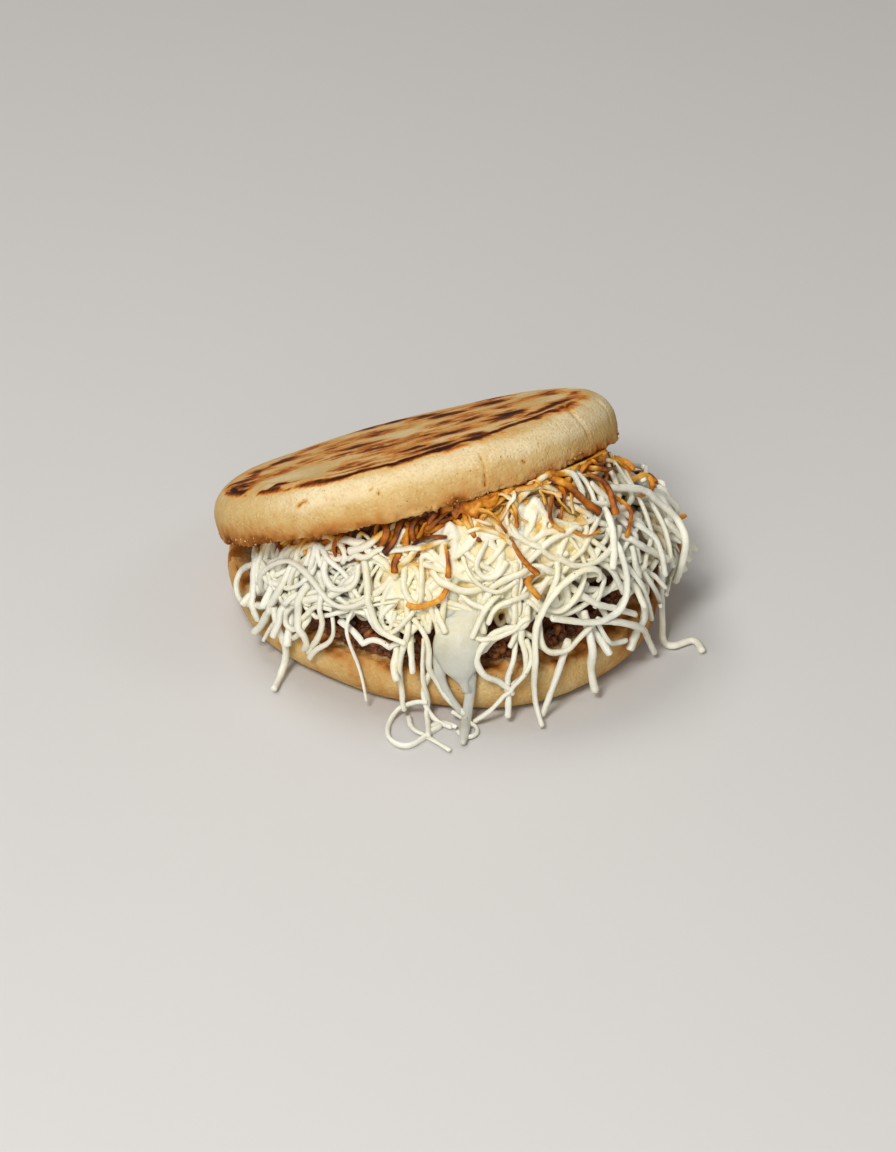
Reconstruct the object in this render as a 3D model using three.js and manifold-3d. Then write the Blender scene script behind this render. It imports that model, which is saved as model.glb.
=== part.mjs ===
// A stuffed corn cake: a round griddled cake split in two, its lower half flat on the table and its upper half
// tipped open over a layer of minced beef and a tall heap of grated white cheese that spills over the rim.
// Millimetres, +Z up. The origin is the middle of the lower half's flat underside, and the mouth opens towards
// -Y and +X.
import * as THREE from "three";
import { mergeVertices } from "three/addons/utils/BufferGeometryUtils.js";
import Module from "manifold-3d";

const wasm = await Module();
wasm.setup();

const DEGREE = Math.PI / 180;
const GAP = 0.35; // left between touching solids

// The two halves of the cake.
const LOWER_RADIUS = 66.4;
const LOWER_THICKNESS = 14.2; // in the middle: the cut slopes
const CUT_RISE = 2.4; // from the middle of the lower half to its rim at the mouth
const LOWER_OVAL = 0.075; // the hand-patted outline is longer towards the mouth by this share
const HINGE_TRIM = 11; // and shorter at the hinge by this much
const UPPER_RADIUS = 62.2;
const UPPER_THICKNESS = 15.7;
const CROWN = 0.9; // how much higher the griddled top is in its middle
const RIM_ROUND = 9.5; // how far the griddled face stops short of the rim
const RIM_NIP = 1.8; // how far the rim draws in at the cut
const BELLY = 0.6; // share of the thickness at which the rim is widest, from the griddled face

// How the upper half is tipped.
const MOUTH_AZIMUTH = -59 * DEGREE;
const TIP = 29.3 * DEGREE;
const HINGE = new THREE.Vector2(-33.6, 39.2); // where the upper half's cut edge rests on the lower half

// The beef layer.
const BEEF_HEIGHT = 6;
const BEEF_LUMP = 0.9;
const BEEF_BACK = 35; // its radius at the hinge
const BEEF_FRONT = 63.5; // and at the mouth

// The cheese heap at each azimuth in degrees: the radius of its widest line, how far it draws in from there to
// the upper half's cut, and how full it is between the two, from 0, a straight slope, to 1, an oval bulge.
const HEAP_PLAN = [
  [-239, 32, 3, 1],
  [-200, 42, 5, 1],
  [-175, 55, 6, 1],
  [-155, 61, 8, 0.9],
  [-130, 62.5, 10, 0.8],
  [-90, 66, 13, 0.75],
  [-60, 68.5, 14, 0.65],
  [-35, 72, 19, 0.5],
  [-15, 74.5, 27, 0.3],
  [5, 71, 32, 0.2],
  [30, 58, 24, 0.3],
  [60, 46, 13, 0.6],
  [121, 32, 3, 1],
];
const HEAP_MIDDLE = 0.26; // how far up the heap's side its widest line is
const HEAP_FOOT = 6; // how far it draws in from its widest line to the beef
const HEAP_LUMP = 0.9;
const SIDE_LENGTH = 62; // of the heap's side from its foot to the upper half, at the mouth

// The shreds of cheese.
const SHRED = 2.5; // width
const SHRED_SIDES = 4;
const SHRED_STEP = 5.5; // length of one step along a shred
const SHREDS = 38; // lying on the heap
const FRINGE = 9; // short ones hanging over the rim
const TOASTED_SHREDS = 9;

// The shreds that hang at the mouth, from left to right. Each leaves the heap at an azimuth and a share of the
// height of its side, reaches down by drop, a share of the lower half's height, and leans and stands out from
// the rim on the way. What reaches the table runs on and turns.
const HANGING = [
  { azimuth: -148, share: 0.4, drop: 0.3, lean: -2, out: 1 },
  { azimuth: -134, share: 0.4, drop: 0.97, lean: -3, out: 2.5 },
  { azimuth: -112, share: 0.34, drop: 0.99, lean: 5, out: 2 },
  { azimuth: -100, share: 0.42, drop: 0.99, lean: -1, out: 3 },
  { azimuth: -95, share: 0.3, drop: 1, lean: 0, out: 9, run: 30, turn: -250 },
  { azimuth: -91, share: 0.38, drop: 1, lean: 2, out: 9, run: 9, turn: 60 },
  { azimuth: -84, share: 0.45, drop: 1, lean: 1, out: 8, run: 7, turn: -20 },
  { azimuth: -74, share: 0.5, drop: 0.9, lean: -4, out: 3 },
  { azimuth: -64, share: 0.45, drop: 1, lean: -2, out: 5, run: 4, turn: 0 },
  { azimuth: -55, share: 0.42, drop: 0.98, lean: 1, out: 3 },
  { azimuth: -47, share: 0.36, drop: 0.6, lean: 1, out: 2 },
  { azimuth: -32, share: 0.5, drop: 1, lean: 2, out: 4, run: 13, turn: 40 },
  { azimuth: -12, share: 0.5, drop: 0.5, lean: 4, out: 2 },
];

// The melted tongue of cheese that slips over the rim at the front, with the half width and height of each row.
const TONGUE = { azimuth: -86, out: 1, base: 12, flatness: 0.62, slant: -12 };
const TONGUE_ROWS = [[0, 0], [2, 0.6], [3.2, 5], [5, 11], [6.6, 17], [6.9, 22], [4.5, 27], [0, 29]];

// The browned layer on the heap's shoulder: from and to in degrees, low and high as shares of the side's height.
const BROWNED = { from: -150, to: -8, low: 0.885, high: 0.985, thickness: 1.9 };

const mix = (a, b, share) => a + (b - a) * share;
const direction = (azimuth) => new THREE.Vector2(Math.cos(azimuth), Math.sin(azimuth));
const lump = (a, b) => Math.sin(a) * Math.sin(1.7 * b + 1.3 * Math.sin(0.6 * a)) + 0.6 * Math.sin(2.3 * a + b);

// Repeatable random numbers from 0 to 1.
function dice(seed) {
  let state = seed;
  return () => {
    state = (state + 0x6d2b79f5) | 0;
    let t = Math.imul(state ^ (state >>> 15), 1 | state);
    t = (t + Math.imul(t ^ (t >>> 7), 61 | t)) ^ t;
    return ((t ^ (t >>> 14)) >>> 0) / 4294967296;
  };
}

// ---- Plan and section of the cake

const mouth = direction(MOUTH_AZIMUTH);

// 1 towards the mouth, 0 towards the hinge.
const openness = (azimuth) => 0.5 + 0.5 * Math.cos(azimuth - MOUTH_AZIMUTH);

// Height of the lower half's cut face over a point of the plan.
const cutHeight = (x, y) => LOWER_THICKNESS + (CUT_RISE / LOWER_RADIUS) * (mouth.x * x + mouth.y * y);

// The rims, with the slow waves of a hand-shaped cake.
function lowerRim(azimuth) {
  const oval = LOWER_RADIUS * (1 - LOWER_OVAL * Math.sin(2 * azimuth));
  const waves = 0.5 * Math.sin(5 * azimuth + 1) + 0.3 * Math.sin(9 * azimuth);
  return oval + waves - HINGE_TRIM * (1 - openness(azimuth)) ** 8;
}
const upperRim = (azimuth) =>
  UPPER_RADIUS + 0.6 * Math.sin(3 * azimuth + 0.4) + 0.35 * Math.sin(7 * azimuth + 2);

// The upper half's cut face is a plane through the hinge, tipped up towards the mouth. Its middle is the seat.
const hingeReach = UPPER_RADIUS - RIM_NIP;
const seat = new THREE.Vector3(
  HINGE.x + hingeReach * Math.cos(TIP) * mouth.x,
  HINGE.y + hingeReach * Math.cos(TIP) * mouth.y,
  cutHeight(HINGE.x, HINGE.y) + GAP + hingeReach * Math.sin(TIP),
);
const seatNormal = new THREE.Vector3(-mouth.x * Math.sin(TIP), -mouth.y * Math.sin(TIP), Math.cos(TIP));
const tipped = new THREE.Matrix4().compose(
  seat,
  new THREE.Quaternion().setFromUnitVectors(new THREE.Vector3(0, 0, 1), seatNormal),
  new THREE.Vector3(1, 1, 1),
);

// Height of that plane over a point of the plan.
const lidHeight = (x, y) =>
  seat.z + Math.tan(TIP) * (mouth.x * (x - seat.x) + mouth.y * (y - seat.y));

// A closed surface round the z axis, from its lowest pole to its highest: place(azimuth, row) gives the radius
// and the height of each point.
function turned(rows, columns, place) {
  const profile = Array.from({ length: rows }, (_, row) => new THREE.Vector2(row % (rows - 1) ? 1 : 0, row));
  const geometry = new THREE.LatheGeometry(profile, columns);
  const position = geometry.attributes.position;
  for (let column = 0; column <= columns; column++) {
    const azimuth = ((column % columns) / columns) * 2 * Math.PI;
    for (let row = 0; row < rows; row++) {
      const [radius, height] = place(azimuth, row);
      position.setXYZ(column * rows + row, radius * Math.cos(azimuth), radius * Math.sin(azimuth), height);
    }
  }
  return geometry;
}

// Half a cake from its griddled face, rise 0, to its cut, rise 1. Each row lies at a share of the way from the
// middle to a line that is inset from the rim. The griddled edge is a quarter oval, and the cut edge draws in.
const CAKE_COLUMNS = 40;
const EDGE_STEPS = 5;
const CUT_STEPS = 2;
const FACE_SHARE = 0.6;
const cakeRows = [
  { share: 0, inset: RIM_ROUND, rise: 0 },
  { share: FACE_SHARE, inset: RIM_ROUND, rise: 0 },
  ...Array.from({ length: EDGE_STEPS + 1 }, (_, k) => {
    const turn = (k / EDGE_STEPS) * 90 * DEGREE;
    return { share: 1, inset: RIM_ROUND * (1 - Math.sin(turn)), rise: BELLY * (1 - Math.cos(turn)) };
  }),
  ...Array.from({ length: CUT_STEPS }, (_, k) => {
    const turn = ((k + 1) / CUT_STEPS) * 90 * DEGREE;
    return { share: 1, inset: RIM_NIP * (1 - Math.cos(turn)), rise: mix(BELLY, 1, Math.sin(turn)) };
  }),
  { share: FACE_SHARE, inset: RIM_NIP, rise: 1 },
  { share: 0, inset: RIM_NIP, rise: 1 },
];

// The lower half lies on its griddled face. grown makes it larger all round, to cut clearances with.
function lowerHalf(grown = 0) {
  return turned(cakeRows.length, CAKE_COLUMNS, (azimuth, row) => {
    const { share, inset, rise } = cakeRows[row];
    const radius = share * (lowerRim(azimuth) + grown - inset);
    const top = cutHeight(radius * Math.cos(azimuth), radius * Math.sin(azimuth)) + grown;
    return [radius, mix(-grown, top, rise)];
  });
}

// The upper half in its own frame: its cut face at height 0, its griddled face on top.
function upperHalf(grown = 0) {
  const rows = [...cakeRows].reverse();
  return turned(rows.length, CAKE_COLUMNS, (azimuth, row) => {
    const { share, inset, rise } = rows[row];
    const radius = share * (upperRim(azimuth) + grown - inset);
    const crown = CROWN * Math.max(0, 1 - (radius / (UPPER_RADIUS - RIM_ROUND)) ** 2);
    return [radius, mix(-grown, UPPER_THICKNESS + grown, 1 - rise) + (rise === 0 ? crown : 0)];
  });
}

// ---- The filling

// The beef spreads over the cut face, lumpy as mince is, and shows as a rough brown band at the mouth. Each row
// lies at a share of the layer's radius and of its height, and its sides and top have lumps.
const BEEF_COLUMNS = 46;
const BEEF_ROWS = [
  { share: 0, rise: 0 },
  { share: 0.6, rise: 0 },
  { share: 0.97, rise: 0 },
  { share: 1, rise: 0.3, side: 1 },
  { share: 1, rise: 0.66, side: 1 },
  { share: 0.97, rise: 0.93, side: 1 },
  { share: 0.88, rise: 1, top: 1 },
  { share: 0.5, rise: 1, top: 1 },
  { share: 0, rise: 1 },
];
function beef(grown = 0) {
  return turned(BEEF_ROWS.length, BEEF_COLUMNS, (azimuth, row) => {
    const { share, rise, side = 0, top = 0 } = BEEF_ROWS[row];
    const spread = mix(BEEF_BACK, BEEF_FRONT, openness(azimuth) ** 0.6);
    const rim = Math.min(spread, lowerRim(azimuth) - 3);
    const radius = share * (rim + grown) + 0.6 * side * BEEF_LUMP * lump(0.55 * rim * azimuth, 2.1 * row);
    const x = radius * Math.cos(azimuth);
    const y = radius * Math.sin(azimuth);
    const floor = cutHeight(x, y) + GAP - grown;
    return [radius, floor + rise * (BEEF_HEIGHT + 2 * grown) + 0.5 * top * BEEF_LUMP * lump(0.9 * x, 0.8 * y)];
  });
}

// The row of HEAP_PLAN at an azimuth: widest radius, inset and fullness.
function heapPlan(azimuth) {
  const first = HEAP_PLAN[0][0];
  const degrees = ((((azimuth / DEGREE - first) % 360) + 360) % 360) + first;
  const next = Math.max(1, HEAP_PLAN.findIndex(([start]) => start > degrees));
  const before = HEAP_PLAN[next - 1];
  const after = HEAP_PLAN[next];
  const share = THREE.MathUtils.smoothstep(degrees, before[0], after[0]);
  return before.map((size, k) => mix(size, after[k], share)).slice(1);
}

// The heap's core fills the mouth between the beef and the upper half. Its side runs from the foot, share 0, over
// the widest line, share 0.5, to the cut face of the upper half, share 1.
const BEEF_ROOM = BEEF_HEIGHT + BEEF_LUMP + 2 * GAP;
function heapPoint(azimuth, share) {
  const way = direction(azimuth);
  const [widest, inset, fullness] = heapPlan(azimuth);
  const foot = widest - HEAP_FOOT;
  const shoulder = widest - inset;
  const low = cutHeight(foot * way.x, foot * way.y) + BEEF_ROOM;
  const high = lidHeight(shoulder * way.x, shoulder * way.y) - GAP;
  const middle = mix(low, high, HEAP_MIDDLE);
  const turn = (share - 0.5) * 180 * DEGREE;
  const bump = HEAP_LUMP * Math.cos(turn) * lump(9 * azimuth, 5 * share);
  let radius = mix(foot, widest, Math.cos(turn)) + bump;
  let height = mix(middle, low, -Math.sin(turn));
  if (share > 0.5) {
    const slope = 2 * share - 1;
    radius = mix(shoulder, widest, mix(1 - slope, Math.cos(turn), fullness)) + bump;
    height = mix(middle, high, mix(slope, Math.sin(turn), fullness));
  }
  const x = radius * way.x;
  const y = radius * way.y;
  return new THREE.Vector3(x, y, Math.min(height, lidHeight(x, y) - GAP));
}

// The point a stand-off outside the heap's side.
function overHeap(azimuth, share, standoff) {
  const step = 0.01;
  const along = heapPoint(azimuth + step, share).sub(heapPoint(azimuth - step, share));
  const low = Math.max(0, share - step);
  const up = heapPoint(azimuth, Math.min(1, low + 2 * step)).sub(heapPoint(azimuth, low));
  return heapPoint(azimuth, share).addScaledVector(along.cross(up).normalize(), standoff);
}

const HEAP_COLUMNS = 38;
const SIDE_STEPS = 8;
function heapCore(grown = 0) {
  const sideRows = Array.from({ length: SIDE_STEPS + 1 }, (_, k) => ({ level: k / SIDE_STEPS }));
  const rows = [{ floor: 0 }, { floor: 0.6 }, ...sideRows, { roof: 0.6 }, { roof: 0 }];
  return turned(rows.length, HEAP_COLUMNS, (azimuth, row) => {
    const { level, floor, roof } = rows[row];
    if (level !== undefined) {
      const point = overHeap(azimuth, level, grown);
      return [Math.hypot(point.x, point.y), point.z];
    }
    const edge = heapPoint(azimuth, roof === undefined ? 0 : 1);
    const { x, y } = edge.multiplyScalar(roof ?? floor);
    const height = roof === undefined ? cutHeight(x, y) + BEEF_ROOM - grown : lidHeight(x, y) - GAP + grown;
    return [Math.hypot(x, y), height];
  });
}

// A shred lies on the heap as an arc: its middle is at an azimuth and a share of the side's height, heading 0
// runs round the heap there and 90 up it, and bend is how far it turns from end to end. It arches by lift over
// the heap, from ends that lie at rest above it.
function lyingRoute({ azimuth, share, heading, length, bend, lift = 1, rest = -0.35 }) {
  const steps = 2 * Math.max(2, Math.round(length / SHRED_STEP / 2));
  const stride = length / steps;
  const half = (sign) => {
    const spots = [];
    let at = azimuth * DEGREE;
    let level = share;
    for (let k = 1; k <= steps / 2; k++) {
      const angle = (heading + (sign * bend * (k - 0.5)) / steps) * DEGREE;
      at += (sign * stride * Math.cos(angle)) / heapPlan(at)[0];
      level += (sign * stride * Math.sin(angle)) / (SIDE_LENGTH * mix(0.4, 1, openness(at)));
      level = THREE.MathUtils.clamp(level, 0.06, 0.97);
      spots.push([at, level]);
    }
    return spots;
  };
  const spots = [...half(-1).reverse(), [azimuth * DEGREE, share], ...half(1)];
  return spots.map(([at, level], k) => {
    const arch = Math.sqrt(Math.sin(Math.PI * mix(0.04, 0.96, k / steps)));
    return overHeap(at, level, rest + lift * SHRED * arch);
  });
}

// A shred that hangs over the rim: off the heap, over the lower half's edge, and down towards the table.
function hangingRoute({ azimuth, share, drop, lean, out, run = 0, turn = 0 }) {
  const at = azimuth * DEGREE;
  const swing = lean * DEGREE;
  const rim = lowerRim(at) + SHRED / 2 + 0.5;
  const edge = cutHeight(rim * Math.cos(at), rim * Math.sin(at));
  const foot = mix(edge, SHRED / 2 + 0.3, drop);
  const spot = (angle, reach, height) =>
    new THREE.Vector3(reach * Math.cos(angle), reach * Math.sin(angle), height);
  const points = [
    overHeap(at - 0.25 * swing, share, -0.6),
    overHeap(at - 0.1 * swing, mix(share, 0.3, 0.55), 0.6 * SHRED),
    spot(at + 0.2 * swing, rim - 0.3, edge + 0.5),
    spot(at + 0.6 * swing, rim + 0.4 * out, mix(edge, foot, 0.55)),
    spot(at + swing, rim + out, foot),
  ];
  let heading = at + swing + 0.25 * turn * DEGREE;
  for (let gone = SHRED_STEP; gone <= run; gone += SHRED_STEP) {
    const stride = new THREE.Vector3(SHRED_STEP * Math.cos(heading), SHRED_STEP * Math.sin(heading), 0);
    points.push(points.at(-1).clone().add(stride));
    heading += (turn * DEGREE * SHRED_STEP) / run;
  }
  return points;
}

// ---- Solids: joined and cut as manifolds, and handed back to three.js

function solid(geometry) {
  const bare = geometry.index ? geometry.toNonIndexed() : geometry;
  const points = new THREE.BufferGeometry().setAttribute("position", bare.attributes.position);
  const merged = mergeVertices(points, 1e-3);
  return new wasm.Manifold(
    new wasm.Mesh({
      numProp: 3,
      vertProperties: merged.attributes.position.array,
      triVerts: new Uint32Array(merged.index.array),
    }),
  );
}

// The largest body of a manifold, without the loose crumbs that a cut leaves.
function geometryOf(manifold) {
  const largest = manifold.decompose().reduce((a, b) => (a.volume() > b.volume() ? a : b));
  const mesh = largest.getMesh();
  return new THREE.BufferGeometry()
    .setAttribute("position", new THREE.BufferAttribute(Float32Array.from(mesh.vertProperties), 3))
    .setIndex(new THREE.BufferAttribute(Uint32Array.from(mesh.triVerts), 1));
}

// A shred: a square section carried along its route. grown makes it larger and longer.
function shredSolid(route, grown = 0) {
  const points = [...route];
  if (grown) {
    const beyond = (end, before) => end.clone().sub(before).setLength(grown).add(end);
    points.unshift(beyond(route[0], route[1]));
    points.push(beyond(route.at(-1), route.at(-2)));
  }
  const corners = Array.from({ length: SHRED_SIDES }, (_, k) =>
    direction((k / SHRED_SIDES) * 2 * Math.PI).multiplyScalar(SHRED / 2 + grown),
  );
  const curve = new THREE.CatmullRomCurve3(points, false, "centripetal");
  const steps = Math.max(4, Math.round((curve.getLength() - 2 * grown) / SHRED_STEP));
  const options = { steps, bevelEnabled: false, extrudePath: curve };
  return solid(new THREE.ExtrudeGeometry(new THREE.Shape(corners), options));
}

function tongue() {
  const at = TONGUE.azimuth * DEGREE;
  const reach = lowerRim(at) + TONGUE.out;
  const geometry = turned(TONGUE_ROWS.length, 12, (_, row) => TONGUE_ROWS[row])
    .scale(TONGUE.flatness, 1, 1)
    .rotateY(TONGUE.slant * DEGREE)
    .rotateZ(at)
    .translate(reach * Math.cos(at), reach * Math.sin(at), TONGUE.base);
  return solid(geometry);
}

// A thin ragged sheet, swung round the heap by some degrees.
const SHARE_PER_MM = 0.012;
function brownedSheet(grown = 0, swing = 0) {
  const geometry = new THREE.BoxGeometry(1, 1, 1, 20, 2, 1);
  const position = geometry.attributes.position;
  for (let k = 0; k < position.count; k++) {
    const across = position.getX(k) + 0.5;
    const up = position.getY(k) + 0.5;
    const outside = position.getZ(k) > 0;
    const azimuth = (mix(BROWNED.from, BROWNED.to, across) + swing) * DEGREE;
    const taper = Math.sin(Math.PI * mix(0.08, 0.92, across));
    const ragged = 1 + 0.2 * Math.sin(41 * across) + 0.16 * Math.sin(67 * across + 1);
    const low = BROWNED.high - (BROWNED.high - BROWNED.low) * taper * ragged;
    const share = mix(low - SHARE_PER_MM * grown, BROWNED.high + SHARE_PER_MM * grown, up);
    const thickness = BROWNED.thickness * (0.8 + 0.25 * Math.sin(90 * across + 9 * up));
    const point = overHeap(azimuth, share, outside ? GAP + thickness + grown : GAP - grown);
    position.setXYZ(k, point.x, point.y, point.z);
  }
  return solid(geometry);
}

// The shreds of the heap: random arcs, longest first, spread evenly round the mouth.
const roll = dice(7);
const lying = Array.from({ length: SHREDS }, (_, k) => ({
  azimuth: mix(-180, 0, (k * 0.754878 + 0.1) % 1),
  share: mix(0.16, 0.84, (k * 0.56984) % 1),
  heading: mix(-80, 260, roll()),
  length: mix(46, 26, k / SHREDS),
  bend: mix(-150, 150, roll()),
  lift: mix(0.85, 1.2, roll()),
}));
const fringe = Array.from({ length: FRINGE }, (_, k) => ({
  azimuth: mix(-165, 2, (k + 0.5) / FRINGE),
  share: mix(0.3, 0.6, roll()),
  drop: mix(0.15, 0.5, roll()),
  lean: mix(-6, 6, roll()),
  out: mix(0.6, 2, roll()),
}));
const toasted = Array.from({ length: TOASTED_SHREDS }, (_, k) => ({
  azimuth: mix(-128, -18, (k + 0.5) / TOASTED_SHREDS),
  share: mix(0.76, 0.84, roll()),
  heading: mix(-130, -50, roll()),
  length: mix(20, 30, roll()),
  bend: mix(70, 210, roll()) * (k % 3 ? 1 : -1),
  lift: 0.5,
  rest: GAP + SHRED / 2 + 0.1,
}));

const upperRoom = solid(upperHalf(GAP).applyMatrix4(tipped));
const browned = wasm.Manifold.union([
  brownedSheet(),
  ...toasted.map((shred) => shredSolid(lyingRoute(shred))),
]).subtract(wasm.Manifold.union([solid(heapCore(GAP)), upperRoom]));

const room = wasm.Manifold.union([
  solid(lowerHalf(GAP)),
  solid(beef(GAP)),
  upperRoom,
  brownedSheet(GAP, GAP),
  brownedSheet(GAP, -GAP),
  ...toasted.map((shred) => shredSolid(lyingRoute(shred), GAP)),
]);
const shreds = wasm.Manifold.union([
  ...lying.map((shred) => shredSolid(lyingRoute(shred))),
  ...[...HANGING, ...fringe].map((shred) => shredSolid(hangingRoute(shred))),
  tongue(),
]);
const cheese = wasm.Manifold.union([solid(heapCore()), shreds.subtract(room)]);

// ---- The part

const part = new THREE.Group();
function add(name, geometry, color, roughness) {
  const mesh = new THREE.Mesh(geometry, new THREE.MeshStandardMaterial({ color, roughness, metalness: 0 }));
  mesh.name = name;
  part.add(mesh);
  return mesh;
}

add("lower_half", lowerHalf(), 0xdcb87c, 0.75);
add("beef_filling", beef(), 0x5f3219, 0.6);
add("cheese_heap", geometryOf(cheese), 0xf0ead4, 0.45);
add("browned_cheese", geometryOf(browned), 0xbd742c, 0.5);
add("upper_half", upperHalf(), 0xe2bd83, 0.75).applyMatrix4(tipped);

export default part;
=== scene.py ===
"""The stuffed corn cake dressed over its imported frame: two griddled halves, minced beef and a heap of grated cheese.

Shapes are worked out in millimetres with numpy and put into meshes in metres."""

import math

import bmesh
import bpy
import numpy as np
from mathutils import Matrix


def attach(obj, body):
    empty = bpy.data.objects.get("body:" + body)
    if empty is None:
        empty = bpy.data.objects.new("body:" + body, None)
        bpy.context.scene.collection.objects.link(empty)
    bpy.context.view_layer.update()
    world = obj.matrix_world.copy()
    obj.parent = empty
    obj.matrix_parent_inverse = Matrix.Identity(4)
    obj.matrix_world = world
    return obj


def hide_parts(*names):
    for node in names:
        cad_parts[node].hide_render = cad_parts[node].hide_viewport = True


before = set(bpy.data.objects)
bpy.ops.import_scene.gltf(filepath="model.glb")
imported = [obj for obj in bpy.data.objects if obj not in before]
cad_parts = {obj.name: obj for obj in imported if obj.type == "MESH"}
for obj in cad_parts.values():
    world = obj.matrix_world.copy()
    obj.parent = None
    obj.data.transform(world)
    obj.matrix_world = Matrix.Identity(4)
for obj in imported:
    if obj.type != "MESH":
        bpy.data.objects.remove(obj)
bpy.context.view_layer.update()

DEGREE = math.pi / 180
MM = 0.001

# The frame's own sizes, in millimetres. The oval, the belly and the heap's middle are shares.
GAP = 0.35
LOWER_RADIUS, LOWER_THICKNESS, CUT_RISE, LOWER_OVAL, HINGE_TRIM = 66.4, 14.2, 2.4, 0.075, 11
UPPER_RADIUS, UPPER_THICKNESS, CROWN = 62.2, 15.7, 0.9
RIM_ROUND, RIM_NIP, BELLY = 9.5, 1.8, 0.6
MOUTH_AZIMUTH = -59 * DEGREE
TIP = 29.3 * DEGREE
HINGE = np.array([-33.6, 39.2])
BEEF_HEIGHT, BEEF_LUMP, BEEF_BACK, BEEF_FRONT = 6, 0.9, 35, 63.5
HEAP_MIDDLE, HEAP_FOOT = 0.26, 6
BEEF_ROOM = BEEF_HEIGHT + BEEF_LUMP + 2 * GAP
SHRED = 2.35

# The heap from above: azimuth in degrees, widest radius, how far its top draws in, and how full its side is.
HEAP_PLAN = np.array(
    [(-239, 32, 3, 1), (-200, 42, 5, 1), (-175, 55, 6, 1), (-155, 61, 8, 0.9), (-130, 62.5, 10, 0.8),
     (-90, 66, 13, 0.75), (-60, 68.5, 14, 0.65), (-35, 72, 19, 0.5), (-15, 74.5, 27, 0.3), (5, 71, 32, 0.2),
     (30, 58, 24, 0.3), (60, 46, 13, 0.6), (121, 32, 3, 1)]
)

mouth = np.array([math.cos(MOUTH_AZIMUTH), math.sin(MOUTH_AZIMUTH)])


# ---- Small tools

LATTICE_PRIMES, SEED_PRIME, FOLDS, BITS = (73856093, 19349663, 83492791), 97531, (1274126177, 668265263), 0xFFFFFFFF


def mix(a, b, share):
    """A straight blend: a at share 0, b at share 1."""
    return a + (b - a) * share


def ease(low, high, value):
    """0 below low, 1 above high, and 3t^2 - 2t^3 between them."""
    t = np.clip((value - low) / (high - low), 0, 1)
    return t * t * (3 - 2 * t)


def angles(count):
    """A count of angles, evenly round from 0."""
    return np.arange(count) / count * 2 * math.pi


def bell(value, middle, width):
    """1 at the middle, falling off to both sides: e to minus the square of the way from the middle over the width."""
    return np.exp(-(((value - middle) / width) ** 2))


def bells(points, spots, reach):
    """The sum of round bells over spots: e to minus the square of each distance over the reach."""
    return sum(np.exp(-(((points - spot) / reach) ** 2).sum(-1)) for spot in spots)


def lattice(i, j, k, seed):
    """A repeatable number from 0 to 1 at each whole-number point: its three indices are multiplied by large primes,
    mixed bit by bit and folded."""
    n = (i * LATTICE_PRIMES[0]) ^ (j * LATTICE_PRIMES[1]) ^ (k * LATTICE_PRIMES[2]) ^ (seed * SEED_PRIME)
    n = ((n & BITS) ^ ((n & BITS) >> 13)) * FOLDS[0] & BITS
    n = (n ^ (n >> 16)) * FOLDS[1] & BITS
    return (n ^ (n >> 15)) / (BITS + 1)


def grain(points, size, seed=0):
    """Smooth noise from -1 to 1 with lumps of a size: the eight lattice numbers round each point, blended by eased
    shares of the way between them."""
    scaled = points / size
    base = np.floor(scaled)
    share = scaled - base
    share = share * share * (3 - 2 * share)
    base = base.astype(np.int64)
    total = 0
    for corner in range(8):
        step = np.array([corner & 1, corner >> 1 & 1, corner >> 2 & 1])
        weight = np.where(step, share, 1 - share).prod(-1)
        at = base + step
        total = total + weight * lattice(at[..., 0], at[..., 1], at[..., 2], seed)
    return 2 * total - 1


def layers(points, size, count=3, seed=0):
    """Grain on grain: each layer has half the size and half the height of the one before."""
    return sum(grain(points, size / 2**k, seed + k) * 0.5**k for k in range(count))


def unit(vectors):
    """Each vector over its own length."""
    return vectors / np.maximum(np.linalg.norm(vectors, axis=-1, keepdims=True), 1e-9)


def grid_out(grid):
    """A ringed surface's direction outwards: the cross product of its steps round a ring and from ring to ring."""
    return unit(np.cross(np.roll(grid, -1, 1) - np.roll(grid, 1, 1), np.gradient(grid, axis=0)))


def note(mesh, key, values):
    """Keeps one number for each point of a mesh under a name that its material asks for."""
    mesh.attributes.new(key, "FLOAT", "POINT").data.foreach_set("value", np.asarray(values, np.float32).ravel())


def points_of(mesh):
    """A mesh's points in millimetres."""
    flat = np.empty(3 * len(mesh.vertices), np.float32)
    mesh.vertices.foreach_get("co", flat)
    return flat.reshape(-1, 3) / MM


def put(name, points, faces, material, numbers=None):
    """A mesh piece from points in millimetres and a list of face arrays, with its numbers for each point."""
    mesh = bpy.data.meshes.new(name)
    mesh.vertices.add(len(points))
    mesh.vertices.foreach_set("co", (np.asarray(points) * MM).astype(np.float32).ravel())
    corners = np.concatenate([f.ravel() for f in faces]).astype(np.int32)
    sizes = np.concatenate([np.full(len(f), f.shape[1]) for f in faces])
    mesh.loops.add(len(corners))
    mesh.loops.foreach_set("vertex_index", corners)
    mesh.polygons.add(len(sizes))
    mesh.polygons.foreach_set("loop_start", np.concatenate([[0], np.cumsum(sizes)[:-1]]).astype(np.int32))
    mesh.update(calc_edges=True)
    mesh.polygons.foreach_set("use_smooth", np.ones(len(sizes), bool))
    for key, values in (numbers or {}).items():
        note(mesh, key, values)
    mesh.materials.append(material)
    piece = bpy.data.objects.new(name, mesh)
    bpy.context.scene.collection.objects.link(piece)
    return piece


def dress(piece, node):
    """Has a piece stand for a node of the frame, on the cake's one body."""
    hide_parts(node)
    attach(piece, "root")


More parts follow.
